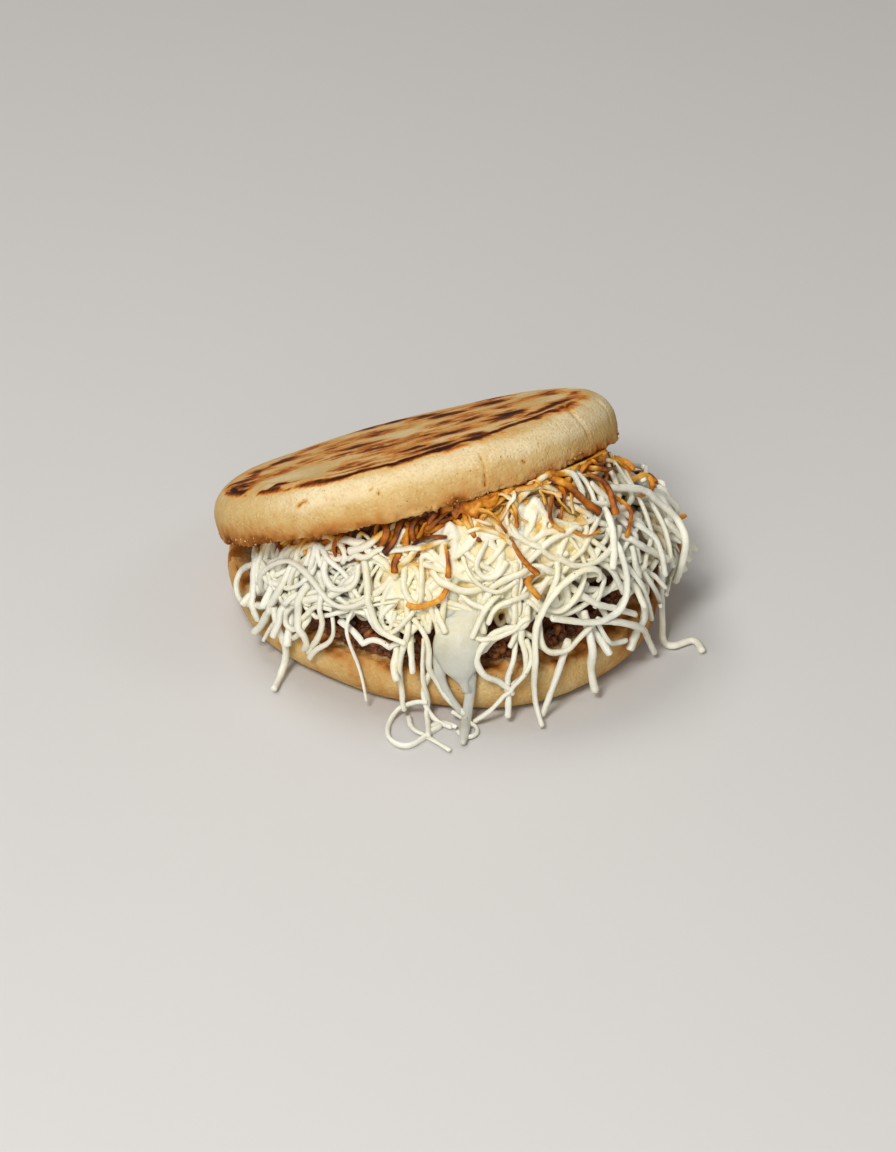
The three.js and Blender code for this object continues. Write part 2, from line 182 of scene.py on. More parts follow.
def closed(rings, start, end):
    """Faces and points of a surface of rings, wrapped round each ring and closed by a pole at both ends."""
    rows, columns = rings.shape[:2]
    points = np.concatenate([rings.reshape(-1, 3), [start, end]])
    row, column = np.meshgrid(np.arange(rows - 1), np.arange(columns), indexing="ij")
    beside = (column + 1) % columns
    quads = np.stack(
        [row * columns + column, row * columns + beside, (row + 1) * columns + beside, (row + 1) * columns + column],
        -1,
    ).reshape(-1, 4)
    k = np.arange(columns)
    low = np.stack([np.full(columns, rows * columns), (k + 1) % columns, k], -1)
    last = (rows - 1) * columns
    high = np.stack([np.full(columns, rows * columns + 1), last + k, last + (k + 1) % columns], -1)
    return points, [quads, low, high]


def with_poles(field):
    """A field of a surface's rings with its mean over the first and the last ring for the two poles."""
    return np.concatenate([field.ravel(), [field[0].mean(), field[-1].mean()]])


# ---- The cake's plan, and the surface of the heap


def openness(azimuth):
    """1 towards the mouth, 0 towards the hinge: half of one plus the cosine of the angle between."""
    return 0.5 + 0.5 * np.cos(azimuth - MOUTH_AZIMUTH)


def cut_height(x, y):
    """The lower half's cut face: a plane that rises towards the mouth."""
    return LOWER_THICKNESS + (CUT_RISE / LOWER_RADIUS) * (mouth[0] * x + mouth[1] * y)


def lower_rim(azimuth):
    """The lower half's outline: an oval with slow waves, trimmed at the hinge."""
    oval = LOWER_RADIUS * (1 - LOWER_OVAL * np.sin(2 * azimuth))
    waves = 0.5 * np.sin(5 * azimuth + 1) + 0.3 * np.sin(9 * azimuth)
    return oval + waves - HINGE_TRIM * (1 - openness(azimuth)) ** 8


def upper_rim(azimuth):
    """The upper half's outline: a circle with slow waves."""
    return UPPER_RADIUS + 0.6 * np.sin(3 * azimuth + 0.4) + 0.35 * np.sin(7 * azimuth + 2)


REACH = UPPER_RADIUS - RIM_NIP
seat = np.array(
    [
        HINGE[0] + REACH * math.cos(TIP) * mouth[0],
        HINGE[1] + REACH * math.cos(TIP) * mouth[1],
        float(cut_height(*HINGE)) + GAP + REACH * math.sin(TIP),
    ]
)
lid_up = np.array([-mouth[0] * math.sin(TIP), -mouth[1] * math.sin(TIP), math.cos(TIP)])
across = np.cross([0, 0, 1], lid_up)
turning = np.array([[0, -across[2], across[1]], [across[2], 0, -across[0]], [-across[1], across[0], 0]])
lid_frame = np.eye(3) + turning + turning @ turning / (1 + lid_up[2])


def lid_height(x, y):
    """The upper half's cut face: a plane through the seat, tipped up towards the mouth."""
    return seat[2] + math.tan(TIP) * (mouth[0] * (x - seat[0]) + mouth[1] * (y - seat[1]))


def beef_reach(azimuth):
    """How far out the beef lies: from its reach at the back to that at the front with a power of the openness, and at
    most to 3 mm within the lower half's rim."""
    return np.minimum(mix(BEEF_BACK, BEEF_FRONT, openness(azimuth) ** 0.6), lower_rim(azimuth) - 3)


def heap_plan(azimuth):
    """Widest radius, inset and fullness at an azimuth: the two rows of the plan beside it, blended with ease."""
    first = HEAP_PLAN[0, 0]
    degrees = (azimuth / DEGREE - first) % 360 + first
    after = np.clip(np.searchsorted(HEAP_PLAN[:, 0], degrees, side="right"), 1, len(HEAP_PLAN) - 1)
    low, high = HEAP_PLAN[after - 1], HEAP_PLAN[after]
    share = ease(low[..., 0], high[..., 0], degrees)[..., None]
    return np.moveaxis(mix(low, high, share)[..., 1:], -1, 0)


def heap_point(azimuth, share):
    """The heap's side: from its foot, share 0, a quarter ellipse out to the widest line, share 0.5, then a blend of a
    straight slope and a quarter ellipse in to the upper half's cut, share 1, never above that cut."""
    azimuth, share = np.broadcast_arrays(np.asarray(azimuth, float), np.asarray(share, float))
    widest, inset, full = heap_plan(azimuth)
    x, y = np.cos(azimuth), np.sin(azimuth)
    foot, shoulder = widest - HEAP_FOOT, widest - inset
    low = cut_height(foot * x, foot * y) + BEEF_ROOM
    high = lid_height(shoulder * x, shoulder * y) - GAP
    middle = mix(low, high, HEAP_MIDDLE)
    turn = (share - 0.5) * math.pi
    below_radius, below_height = mix(foot, widest, np.cos(turn)), mix(middle, low, -np.sin(turn))
    slope = 2 * share - 1
    above_radius = mix(shoulder, widest, mix(1 - slope, np.cos(turn), full))
    above_height = mix(middle, high, mix(slope, np.sin(turn), full))
    upper = share > 0.5
    radius = np.where(upper, above_radius, below_radius)
    height = np.where(upper, above_height, below_height)
    return np.stack([radius * x, radius * y, np.minimum(height, lid_height(radius * x, radius * y) - GAP)], -1)


# How a shred lies over the lower half, in millimetres: clear of its rim, above its cut edge, further out at the foot of
# its side, and how far it may run out over the table.
RIM_CLEAR, EDGE_CLEAR, FOOT_CLEAR, TABLE_RUN = 1.6, 1.2, 1.2, 30


def drape(azimuth, level):
    """What a shred lies on. From level 1 to 0.5 it is the heap's side. From 0.5 to 0 it eases out from the widest line
    to the lower half's rim, from 0 to -1 it drops down the side, and from -1 to -2 it runs out over the table."""
    azimuth, level = np.broadcast_arrays(np.asarray(azimuth, float), np.asarray(level, float))
    x, y = np.cos(azimuth), np.sin(azimuth)
    heap = heap_point(azimuth, np.clip(level, 0.5, 1))
    rim = lower_rim(azimuth) + RIM_CLEAR
    edge = cut_height(rim * x, rim * y) + EDGE_CLEAR
    wide = heap_point(azimuth, np.full_like(level, 0.5))
    wide_radius, wide_height = np.hypot(wide[..., 0], wide[..., 1]), wide[..., 2]
    fall, side, run = np.clip(1 - 2 * level, 0, 1), np.clip(-level, 0, 1), np.clip(-1 - level, 0, 1)
    radius = mix(wide_radius, rim, ease(0, 1, fall)) + FOOT_CLEAR * side + TABLE_RUN * run
    height = mix(mix(wide_height, edge, fall), SHRED / 2, side)
    low = np.stack([radius * x, radius * y, height], -1)
    return np.where((level >= 0.5)[..., None], heap, low)


def outward(azimuth, level):
    """The drape's direction out: the cross product of its steps round and up."""
    step = 0.012
    low = np.clip(level - step, -2, 1 - 2 * step)
    around = drape(azimuth + step, level) - drape(azimuth - step, level)
    up = drape(azimuth, low + 2 * step) - drape(azimuth, low)
    return unit(np.cross(around, up))


# ---- The camera: where it stands, and what it sees of the drape

FRAME_WIDTH, FRAME_HEIGHT, FOCAL = 896, 1152, 4500
CAMERA_DOWN = 34 * DEGREE
camera_at = np.array([2.4, -1144.8, 778.2])
camera_forward = np.array([0, math.cos(CAMERA_DOWN), -math.sin(CAMERA_DOWN)])
camera_top = np.array([0, math.sin(CAMERA_DOWN), math.cos(CAMERA_DOWN)])


def seen(points):
    """Where the camera sees points, in steps of its 896 by 1152 frame, and how far away: sideways and downward parts
    over the forward part."""
    offset = points - camera_at
    depth = offset @ camera_forward
    right = FRAME_WIDTH / 2 + FOCAL * offset[..., 0] / depth
    down = FRAME_HEIGHT / 2 - FOCAL * (offset @ camera_top) / depth
    return np.stack([right, down], -1), depth


NEAR_MARK = 1.6  # a point of a surface is at a mark when the camera sees it this near, in steps of the frame

# The drape's two parts, the heap and what hangs below it: their azimuths, their levels and the levels' count.
DRAPE_PARTS, DRAPE_COLUMNS = ((-215, 45, 0, 1, 190), (-172, -14, -2, 0, 260)), 620


def spots_on_drape(marks):
    """The azimuth and level of the drape's points that the camera sees at the marks: the nearest of a fine grid of the
    drape's near side. A mark that nothing of the lower part meets is taken to the heap, and of two that are met the
    nearer to the camera is kept."""
    marks = np.asarray(marks, float)
    picks = []
    for left, right, low, high, rows in DRAPE_PARTS:
        across, up = np.linspace(left, right, DRAPE_COLUMNS) * DEGREE, np.linspace(low, high, rows)
        azimuth, level = (side.ravel() for side in np.meshgrid(across, up, indexing="ij"))
        points = drape(azimuth, level)
        facing = (outward(azimuth, level) * unit(camera_at - points)).sum(-1) > 0.02
        azimuth, level, points = azimuth[facing], level[facing], points[facing]
        where, depth = seen(points)
        best = np.array([((where - mark) ** 2).sum(-1).argmin() for mark in marks])
        picks.append((azimuth[best], level[best], np.linalg.norm(where[best] - marks, axis=-1), depth[best]))
    (a0, l0, m0, d0), (a1, l1, m1, d1) = picks
    lower_one = (m1 < NEAR_MARK) & ((m0 > NEAR_MARK) | (d1 < d0))
    return np.where(lower_one, a1, a0), np.where(lower_one, l1, l0)


def spots_on_grid(marks, grid):
    """The points of a grid that the camera sees at its marks: for each mark the one that is nearest to the camera, with
    40 mm added for every step of the frame by which it misses the mark."""
    flat = grid.reshape(-1, 3)
    at, depth = seen(flat)
    misses = (np.linalg.norm(at - np.array(mark), axis=-1) for mark in marks)
    return np.array([flat[np.argmin(depth + 40 * np.clip(miss - NEAR_MARK, 0, None))] for miss in misses])


# ---- Shreds: routes


def evenly(route, stride):
    """A route's own points, moved so that they lie a stride apart along a smooth curve through them: straight steps
    after three rounds of cutting corners with the four-point rule, which keeps the points."""
    for _ in range(3):
        padded = np.concatenate([[2 * route[0] - route[1]], route, [2 * route[-1] - route[-2]]])
        middle = (9 * (padded[1:-2] + padded[2:-1]) - padded[:-3] - padded[3:]) / 16
        finer = np.empty((2 * len(route) - 1, route.shape[1]))
        finer[::2], finer[1::2] = route, middle
        route = finer
    gone = np.concatenate([[0], np.cumsum(np.linalg.norm(np.diff(route[:, :3], axis=0), axis=1))])
    steps = max(3, round(gone[-1] / stride))
    at = np.linspace(0, gone[-1], steps + 1)
    return np.stack([np.interp(at, gone, route[:, k]) for k in range(route.shape[1])], -1)


STRIDE = 2.2  # between the points of a shred, in millimetres

# How firmly shreds are held where they were put while they settle, and the hold above which one counts as laid.
LAID_HOLD, LOOSE_HOLD, HANGING_HOLD, STUB_HOLD, FIRM = 0.3, 0.02, 0.04, 0.08, 0.1

# The shreds at the front that are laid one by one, as marks of the camera's frame from end to end: first the width
# in millimetres, how far they lie off the heap, and how toasted they are.
LAID = [
    # left
    (2.3, 2.4, 0, 273, 561, 259, 564, 247, 573, 242, 586, 247, 600, 260, 604, 274, 607),
    (2.5, 3.4, 0, 264, 547, 263, 566, 262, 586, 261, 606, 260, 620),
    (2.9, 3.0, 0, 297, 558, 291, 580, 278, 603, 264, 622, 256, 632),
    (2.9, 3.2, 0, 265, 590, 270, 573, 281, 564, 296, 561, 308, 568, 320, 581, 333, 596, 346, 604, 360, 602, 374, 595),
    (2.5, 3.6, 0, 365, 556, 371, 573, 373, 593, 376, 610, 383, 623, 393, 631, 407, 637),
    (2.4, 2.2, 0, 331, 549, 328, 566, 330, 579, 338, 587, 350, 587, 359, 579, 361, 564),
    (2.6, 3.0, 0, 280, 606, 285, 626, 287, 646, 285, 664, 278, 682, 274, 690),
    (2.3, 2.0, 0, 302, 598, 291, 609, 289, 621, 297, 628, 307, 621, 311, 611, 320, 604, 334, 607),
    (2.4, 2.2, 0, 314, 603, 308, 619, 303, 631, 293, 638, 287, 634),
    (2.3, 2.0, 0, 329, 606, 336, 621, 336, 634, 329, 642, 320, 647, 310, 657),
    (1.3, 2.2, 0, 353, 606, 350, 624, 353, 643, 358, 662, 363, 682, 367, 700),
    (2.9, 3.4, 0, 399, 524, 385, 536, 373, 545, 355, 551),
    (2.1, 2.6, 0.12, 322, 541, 332, 538, 342, 542, 350, 553, 347, 561),
    (2.2, 1.6, 0, 308, 606, 323, 601, 336, 604, 356, 606, 376, 603, 398, 599),
    (2.2, 1.4, 0, 281, 616, 270, 629, 264, 640),
    (2.4, 2.4, 0, 405, 556, 406, 580, 409, 595, 421, 607),
    (2.2, 1.4, 0, 294, 552, 280, 559, 271, 567, 267, 586),
    (2.2, 2.6, 0, 407, 600, 409, 628, 404, 646, 401, 662, 402, 686, 404, 709),
    (2.5, 3.4, 0, 414, 618, 425, 629, 430, 646, 430, 662, 436, 679, 447, 696, 464, 712),
    (2.3, 2.2, 0, 424, 640, 423, 671, 426, 692, 427, 712, 429, 738),
    (2.1, 1.0, 0, 430, 672, 424, 690, 428, 712, 440, 722, 452, 727),
    # loops on the table
    (2.4, 1.2, 0, 426, 701, 412, 703, 399, 709, 389, 723, 389, 737, 399, 745, 413, 744, 428, 733, 440, 726),
    (2.0, 0.2, 0, 409, 717, 412, 728, 428, 737, 450, 750),
    (1.7, 1.0, 0, 452, 712, 466, 720, 476, 726, 477, 734, 466, 737, 458, 731),
    (1.9, 0.6, 0, 430, 727, 441, 722, 455, 727),
    # middle
    (2.3, 3.0, 0, 555, 555, 554, 572, 547, 590, 540, 604),
    (2.4, 3.0, 0, 470, 632, 480, 637, 497, 633, 512, 625, 526, 614),
    (2.3, 3.0, 0, 527, 606, 524, 620, 511, 625, 498, 629, 484, 640, 477, 657, 485, 672, 501, 681, 512, 693),
    (2.2, 2.0, 0, 517, 636, 512, 659, 507, 679, 508, 697, 508, 716),
    (1.9, 3.0, 0, 474, 722, 491, 709, 509, 689, 522, 671, 529, 655, 525, 638),
    (2.4, 3.0, 0, 500, 594, 488, 600, 479, 616, 473, 634),
    (2.5, 3.4, 0, 527, 594, 508, 596, 494, 604, 488, 618),
    (2.2, 1.8, 0, 519, 604, 518, 624, 509, 645),
    (2.2, 2.6, 0, 489, 540, 480, 552, 476, 566, 484, 576, 497, 572, 505, 560),
    (2.2, 2.6, 0, 462, 556, 470, 572, 484, 586, 500, 588, 514, 578),
    (2.2, 2.4, 0, 455, 588, 470, 600, 490, 606, 508, 600),
    # right
    (2.6, 4.0, 0, 605, 528, 611, 547, 618, 567, 619, 588, 611, 607, 591, 619, 567, 618, 547, 614),
    (2.5, 4.2, 0, 598, 578, 592, 567, 578, 566, 562, 576, 547, 590, 537, 608, 531, 628, 531, 657, 533, 683, 536, 706,
     542, 728),
    (2.4, 2.8, 0, 538, 616, 538, 639, 547, 650, 562, 648, 576, 636, 588, 622),
    (2.9, 3.0, 0, 583, 612, 587, 646, 590, 667, 594, 690),
    (2.9, 2.4, 0, 564, 640, 559, 667, 551, 691, 542, 714),
    (2.5, 3.6, 0, 592, 618, 618, 620, 634, 626, 644, 634, 652, 652),
    (2.2, 2.4, 0, 594, 622, 604, 639, 614, 643, 625, 640),
    (2.5, 3.0, 0, 662, 566, 660, 600, 661, 624, 663, 640, 672, 648, 693, 641, 702, 652),
    (2.7, 4.0, 0, 608, 489, 630, 495, 648, 507, 667, 523, 675, 543, 679, 568, 678, 583),
    (2.7, 3.6, 0, 664, 522, 681, 543, 691, 560, 693, 566),
    (2.4, 3.2, 0, 624, 462, 637, 467, 641, 478, 637, 486),
    (2.3, 2.2, 0, 681, 553, 687, 568, 683, 579, 679, 592, 686, 606, 697, 609),
    (2.6, 3.6, 0, 632, 524, 645, 537, 653, 553, 656, 571),
    (2.3, 2.0, 0, 578, 578, 596, 573, 599, 588, 592, 606),
    (2.5, 3.6, 0, 601, 505, 604, 524, 607, 545, 606, 566),
    (2.4, 2.8, 0, 570, 586, 590, 600, 612, 606, 630, 612),
    (2.4, 2.6, 0, 622, 560, 634, 578, 642, 598, 650, 618),
    (2.3, 2.6, 0, 640, 566, 648, 586, 660, 604, 672, 616),
    (2.4, 1.6, 0, 580, 528, 590, 540, 603, 549, 612, 562),
    (2.4, 1.2, 0, 613, 526, 604, 539, 596, 552, 588, 565),
    (2.5, 1.5, 0, 620, 514, 628, 529, 634, 545, 637, 562),
    (2.4, 1.2, 0, 643, 517, 634, 530, 625, 543, 617, 557),
    (2.4, 1.3, 0, 596, 558, 607, 567, 616, 578, 622, 592),
    (2.4, 1.4, 0, 588, 548, 601, 556, 616, 560, 631, 556),
    # toasted
    (2.5, 3.0, 0.72, 553, 494, 547, 505, 546, 516, 550, 524, 558, 529),
    (2.3, 3.2, 0.6, 568, 528, 574, 533, 583, 535, 594, 531),
    (3.1, 3.6, 0.8, 545, 478, 561, 487, 575, 500, 592, 513),
    (2.6, 3.6, 0.75, 586, 474, 597, 486, 604, 500, 608, 515),
    (2.5, 3.0, 0.62, 615, 497, 623, 510, 624, 522, 620, 536),
    (2.3, 3.4, 0.8, 630, 481, 640, 483, 645, 491, 639, 500, 631, 499),
    (2.3, 3.0, 0.85, 584, 467, 596, 473, 606, 473, 614, 465),
    (2.3, 3.0, 0.72, 511, 499, 513, 512, 514, 526),
    (2.4, 3.0, 0.7, 470, 512, 483, 511, 494, 516, 504, 531),
    (2.5, 3.2, 0.6, 510, 540, 516, 552, 525, 563, 535, 571),
    (2.3, 3.0, 0.55, 535, 572, 524, 578, 529, 586, 536, 595),
    (2.1, 3.2, 0.62, 443, 541, 448, 556, 448, 574),
    (2.1, 3.2, 0.62, 448, 581, 443, 592, 431, 600, 416, 602, 410, 600),
    (2.8, 2.8, 1.0, 412, 509, 404, 524, 398, 540, 388, 552),
    (2.9, 3.0, 1.0, 411, 546, 422, 539, 434, 536, 447, 537),
    (2.5, 2.6, 0.9, 402, 548, 398, 560, 396, 570),
    (2.6, 2.6, 0.85, 440, 509, 426, 514, 413, 520),
    (2.4, 2.6, 0.7, 455, 506, 440, 520, 428, 530),
    (2.4, 2.2, 0.9, 632, 470, 640, 476, 652, 486),
    (2.3, 2.0, 0.6, 660, 484, 656, 490),
    (2.4, 2.4, 0.66, 690, 513, 680, 518),
    (2.3, 2.2, 0.62, 681, 540, 681, 552),
    (2.4, 2.6, 0.75, 607, 458, 620, 466, 628, 474),
    (2.3, 2.6, 0.66, 520, 470, 528, 482, 538, 487),
]


def shred(points, width, toast, hold, under=False):
    """What is known of a shred: its route in strides, its width, how toasted it is, how firmly it is held, and whether
    it lies under the others."""
    return dict(route=evenly(points, STRIDE), width=width, toast=toast, hold=hold, under=under)


LAID_WIDTH = 0.83  # a laid shred's width over the one in its row
LAID_SINK, END_DIP = 0.5, 2.4  # what is taken off a row's lift on the heap, and off it again at its upper end
TOAST_SHARES = 0.82, 0.88  # a laid shred's toast over the one in its row, below a toast of 0.8 and from it on


def laid_routes():
    """The laid shreds: each mark is found on the drape and lifted off it along its outward direction. A shred's upper
    end dips, so that it comes out from under the others."""
    marks = np.array([pair for _, _, _, *flat in LAID for pair in zip(flat[::2], flat[1::2])], float)
    azimuth, level = spots_on_drape(marks)
    start, rows = 0, []
    for width, lift, toast, *flat in LAID:
        part = slice(start, start + len(flat) // 2)
        at, where = azimuth[part], level[part]
        start = part.stop
        off = np.where(where < 0, 0.3 * lift - 0.4, lift - LAID_SINK)
        off[0] -= END_DIP * (where[0] > 0.3)
        points = drape(at, where) + off[:, None] * outward(at, where)
        points[:, 2] = np.maximum(points[:, 2], SHRED / 2)
        rows.append(shred(points, LAID_WIDTH * width, TOAST_SHARES[toast >= 0.8] * toast, LAID_HOLD))
    return rows


# A wandering shred's azimuth and level step from shred to shred by shares that spread them evenly over their band.
AZIMUTH_SHARE, LEVEL_SHARE = 0.754878, 0.56984


def wandering(rng, count, azimuths, levels, heading, lengths, bends, off, toast=0.0, widths=(1.8, 2.4), under=False):
    """Shreds that wander over the drape. Each starts in the middle of its length and walks both ways in strides: its
    heading, 0 round the heap and 90 up it, turns steadily by its bend with a slow wave on top, and turns back where it
    meets the ends of its band. Its height off the drape waves too, and either end may dive under the others."""
    azimuth0 = mix(*azimuths, (np.arange(count) * AZIMUTH_SHARE + rng.random()) % 1) * DEGREE
    level0 = mix(*levels, (np.arange(count) * LEVEL_SHARE + rng.random()) % 1)
    length = mix(*lengths, rng.random(count) ** 1.5)
    heading0 = (heading[0] + heading[1] * rng.standard_normal(count)) * DEGREE
    bend = mix(*bends, rng.random(count)) * np.where(rng.random(count) < 0.5, -1, 1) * DEGREE
    wave, phase, speed = 0.3 * rng.random(count), 6.28 * rng.random(count), mix(0.9, 2.2, rng.random(count))
    half = int(lengths[1] / 2 / STRIDE) + 1
    walks = []
    for sign in (-1, 1):
        azimuth, level, angle = azimuth0.copy(), level0.copy(), heading0.copy()
        track = [(azimuth.copy(), level.copy())]
        for k in range(half):
            gone = (k + 0.5) * STRIDE / length
            swing = wave * STRIDE * speed / 12 * np.cos(phase + speed * 6 * gone * sign)
            angle = angle + sign * (bend * STRIDE / length + swing)
            round_size = np.linalg.norm(drape(azimuth + 0.01, level) - drape(azimuth - 0.01, level), axis=-1) / 0.02
            low = np.minimum(level, 0.97)
            up_size = np.linalg.norm(drape(azimuth, low + 0.02) - drape(azimuth, low - 0.02), axis=-1) / 0.04
            rise = sign * STRIDE * np.sin(angle) / np.maximum(up_size, 8)
            out_of_band = (level + rise > levels[1] + 0.06) | (level + rise < levels[0] - 0.1)
            angle = np.where(out_of_band, -angle, angle)
            rise = np.where(out_of_band, -rise, rise)
            azimuth = azimuth + sign * STRIDE * np.cos(angle) / np.maximum(round_size, 8)
            level = np.clip(level + rise, -1, 0.985)
            track.append((azimuth.copy(), level.copy()))
        walks.append(np.array(track))  # steps, azimuth and level, shreds
    rows = []
    for n in range(count):
        reach = max(2, int(length[n] / 2 / STRIDE))
        walk = np.concatenate([walks[0][1 : reach + 1, :, n][::-1], walks[1][: reach + 1, :, n]])
        t = np.linspace(0, 1, len(walk))
        lift = off + 0.7 * np.sin(phase[n] + 5 * t) + rng.uniform(-0.5, 0.5)
        dive = rng.random(2) < 0.6
        lift = lift - 2.0 * (dive[0] * (1 - ease(0, 0.2, t)) + dive[1] * ease(0.8, 1, t))
        points = drape(walk[:, 0], walk[:, 1]) + lift[:, None] * outward(walk[:, 0], walk[:, 1])
        rows.append(shred(points, rng.uniform(*widths), toast * rng.uniform(0.6, 1.25), LOOSE_HOLD, under))
    return rows


HANGING_BAND = -150, 4  # azimuths between which shreds slip over the rim
FULL_WIDTHS = 2.0, 2.6  # of hanging shreds and short ends, in millimetres


def hanging(rng, count):
    """Shreds that slip over the rim: a route down the drape at a slowly swinging azimuth, from the heap's widest line
    to somewhere down the lower half's side."""
    rows = []
    for k in range(count):
        azimuth = mix(*HANGING_BAND, (k + rng.random()) / count) * DEGREE
        t = np.linspace(0, 1, 9)
        level = mix(rng.uniform(0.45, 0.75), -0.75 * rng.random() ** 1.6, t)
        swing = rng.uniform(-0.16, 0.16) * t**1.5 + 0.03 * np.sin(6 * t + 6.28 * rng.random())
        off = np.where(level < 0, 0.4, 1.6) + 0.5 * np.sin(4 * t)
        points = drape(azimuth + swing, level) + off[:, None] * outward(azimuth + swing, level)
        rows.append(shred(points, rng.uniform(*FULL_WIDTHS), 0, HANGING_HOLD))
    return rows


STUB_ROOT, STUB_LENGTHS, STUB_FALL = 3.4, (9, 17), 3.0  # how deep a short end starts, its length, and how it bends


def stubs(rng, count, azimuths, levels):
    """Short ends that poke out of the heap: from under its skin out along the drape's outward direction, bending
    down as they go."""
    rows = []
    for k in range(count):
        azimuth = mix(*azimuths, (k * AZIMUTH_SHARE + 0.3) % 1) * DEGREE
        level = mix(*levels, (k * LEVEL_SHARE + 0.1) % 1)
        t = np.linspace(0, 1, 6)[:, None]
        out = outward(np.array(azimuth), np.array(level))
        side = np.array([-math.sin(azimuth), math.cos(azimuth), 0]) * rng.uniform(-1, 1)
        aim = unit(0.55 * out + 0.7 * side + np.array([0, 0, -0.75]))
        start = drape(np.array(azimuth), np.array(level)) - STUB_ROOT * out
        points = start + aim * rng.uniform(*STUB_LENGTHS) * t - np.array([0, 0, STUB_FALL]) * t * t
        rows.append(shred(points, rng.uniform(*FULL_WIDTHS), 0, STUB_HOLD))
    return rows


# ---- Shreds: settling

SIDE_COLUMNS, SIDE_ROWS, TOP_ROW = 240, 90, 88.99  # the side's table: azimuths, heights in millimetres, top height
CORE_INSET = 4.6  # how far the heap's core lies behind its side


def side_table():
    """The radius of the heap's side at each azimuth and height, read off straight between 61 points up the side."""
    azimuth = (np.arange(SIDE_COLUMNS) / SIDE_COLUMNS * 360 - 180) * DEGREE
    side = heap_point(azimuth[:, None], np.linspace(0, 1, 61)[None])
    radius = np.hypot(side[..., 0], side[..., 1])
    up = np.arange(float(SIDE_ROWS))
    highest = np.maximum.accumulate(side[..., 2], 1)
    return np.array([np.interp(up, h, r, left=r[0], right=0) for h, r in zip(highest, radius)])


SIDE_TABLE = side_table()


def side_column(x, y):
    """The column of the side's table, with its fraction, at the azimuth of points."""
    return (np.arctan2(y, x) / DEGREE + 180) / 360 * SIDE_COLUMNS


FIRST_CELL, CELL_BITS = -200, 10  # cells are counted from the first, and a count takes ten bits of a cell's key


def near_pairs(points, reach):
    """Pairs of points less than a reach apart: points are sorted by the cell of a grid that they lie in, and each is
    paired with those of its own cell and of half of the cells round it."""
    cell = np.floor(points / reach).astype(np.int64) - FIRST_CELL
    key = (cell[:, 0] << 2 * CELL_BITS) | (cell[:, 1] << CELL_BITS) | cell[:, 2]
    order = np.argsort(key, kind="stable")
    ranked = key[order]
    near = []
    for dx in (-1, 0, 1):
        for dy in (-1, 0, 1):
            for dz in (-1, 0, 1):
                shift = (dx << 2 * CELL_BITS) + (dy << CELL_BITS) + dz
                if shift < 0:
                    continue
                left = np.searchsorted(ranked, key + shift, "left")
                many = np.searchsorted(ranked, key + shift, "right") - left
                first = np.repeat(np.arange(len(points)), many)
                place = np.arange(many.sum()) - np.repeat(np.cumsum(many) - many, many) + np.repeat(left, many)
                second = order[place]
                keep = first < second if shift == 0 else first != second
                near.append(np.stack([first[keep], second[keep]]))
    pairs = np.concatenate(near, 1)
    apart = points[pairs[0]] - points[pairs[1]]
    return pairs[:, (apart * apart).sum(-1) < reach * reach]


def stacked(rows):
    """The rows' routes in one array, filled up with zeros, and how many points each has."""
    steps = np.array([len(row["route"]) for row in rows])
    points = np.zeros((len(rows), steps.max(), 3))
    for n, row in enumerate(rows):
        points[n, : steps[n]] = row["route"]
    return points, steps


ROUNDS, SAG, GIVE_OF_LAID = 70, 0.035, 0.3  # rounds, sag of a loose point in each, how far laid shreds give way
NEIGHBOUR, TOUCH = 3.6, 0.46  # how near a neighbour is, and the share of two widths at which they touch
CORE_CREEP, CREEP = 1.2, 1.0  # the furthest that a point is pushed out in a round: of the core, and of the others
LINKS = ((1, 1), (2, 0.8), (5, 0.5))  # steps along a shred that keep their length, and how stiffly
SEARCH_EVERY = 5  # rounds between two searches for neighbours
EVEN_EVERY, EVEN_SHARE = 4, 0.35  # rounds between two goes at evening out kinks, and how much of a kink each takes


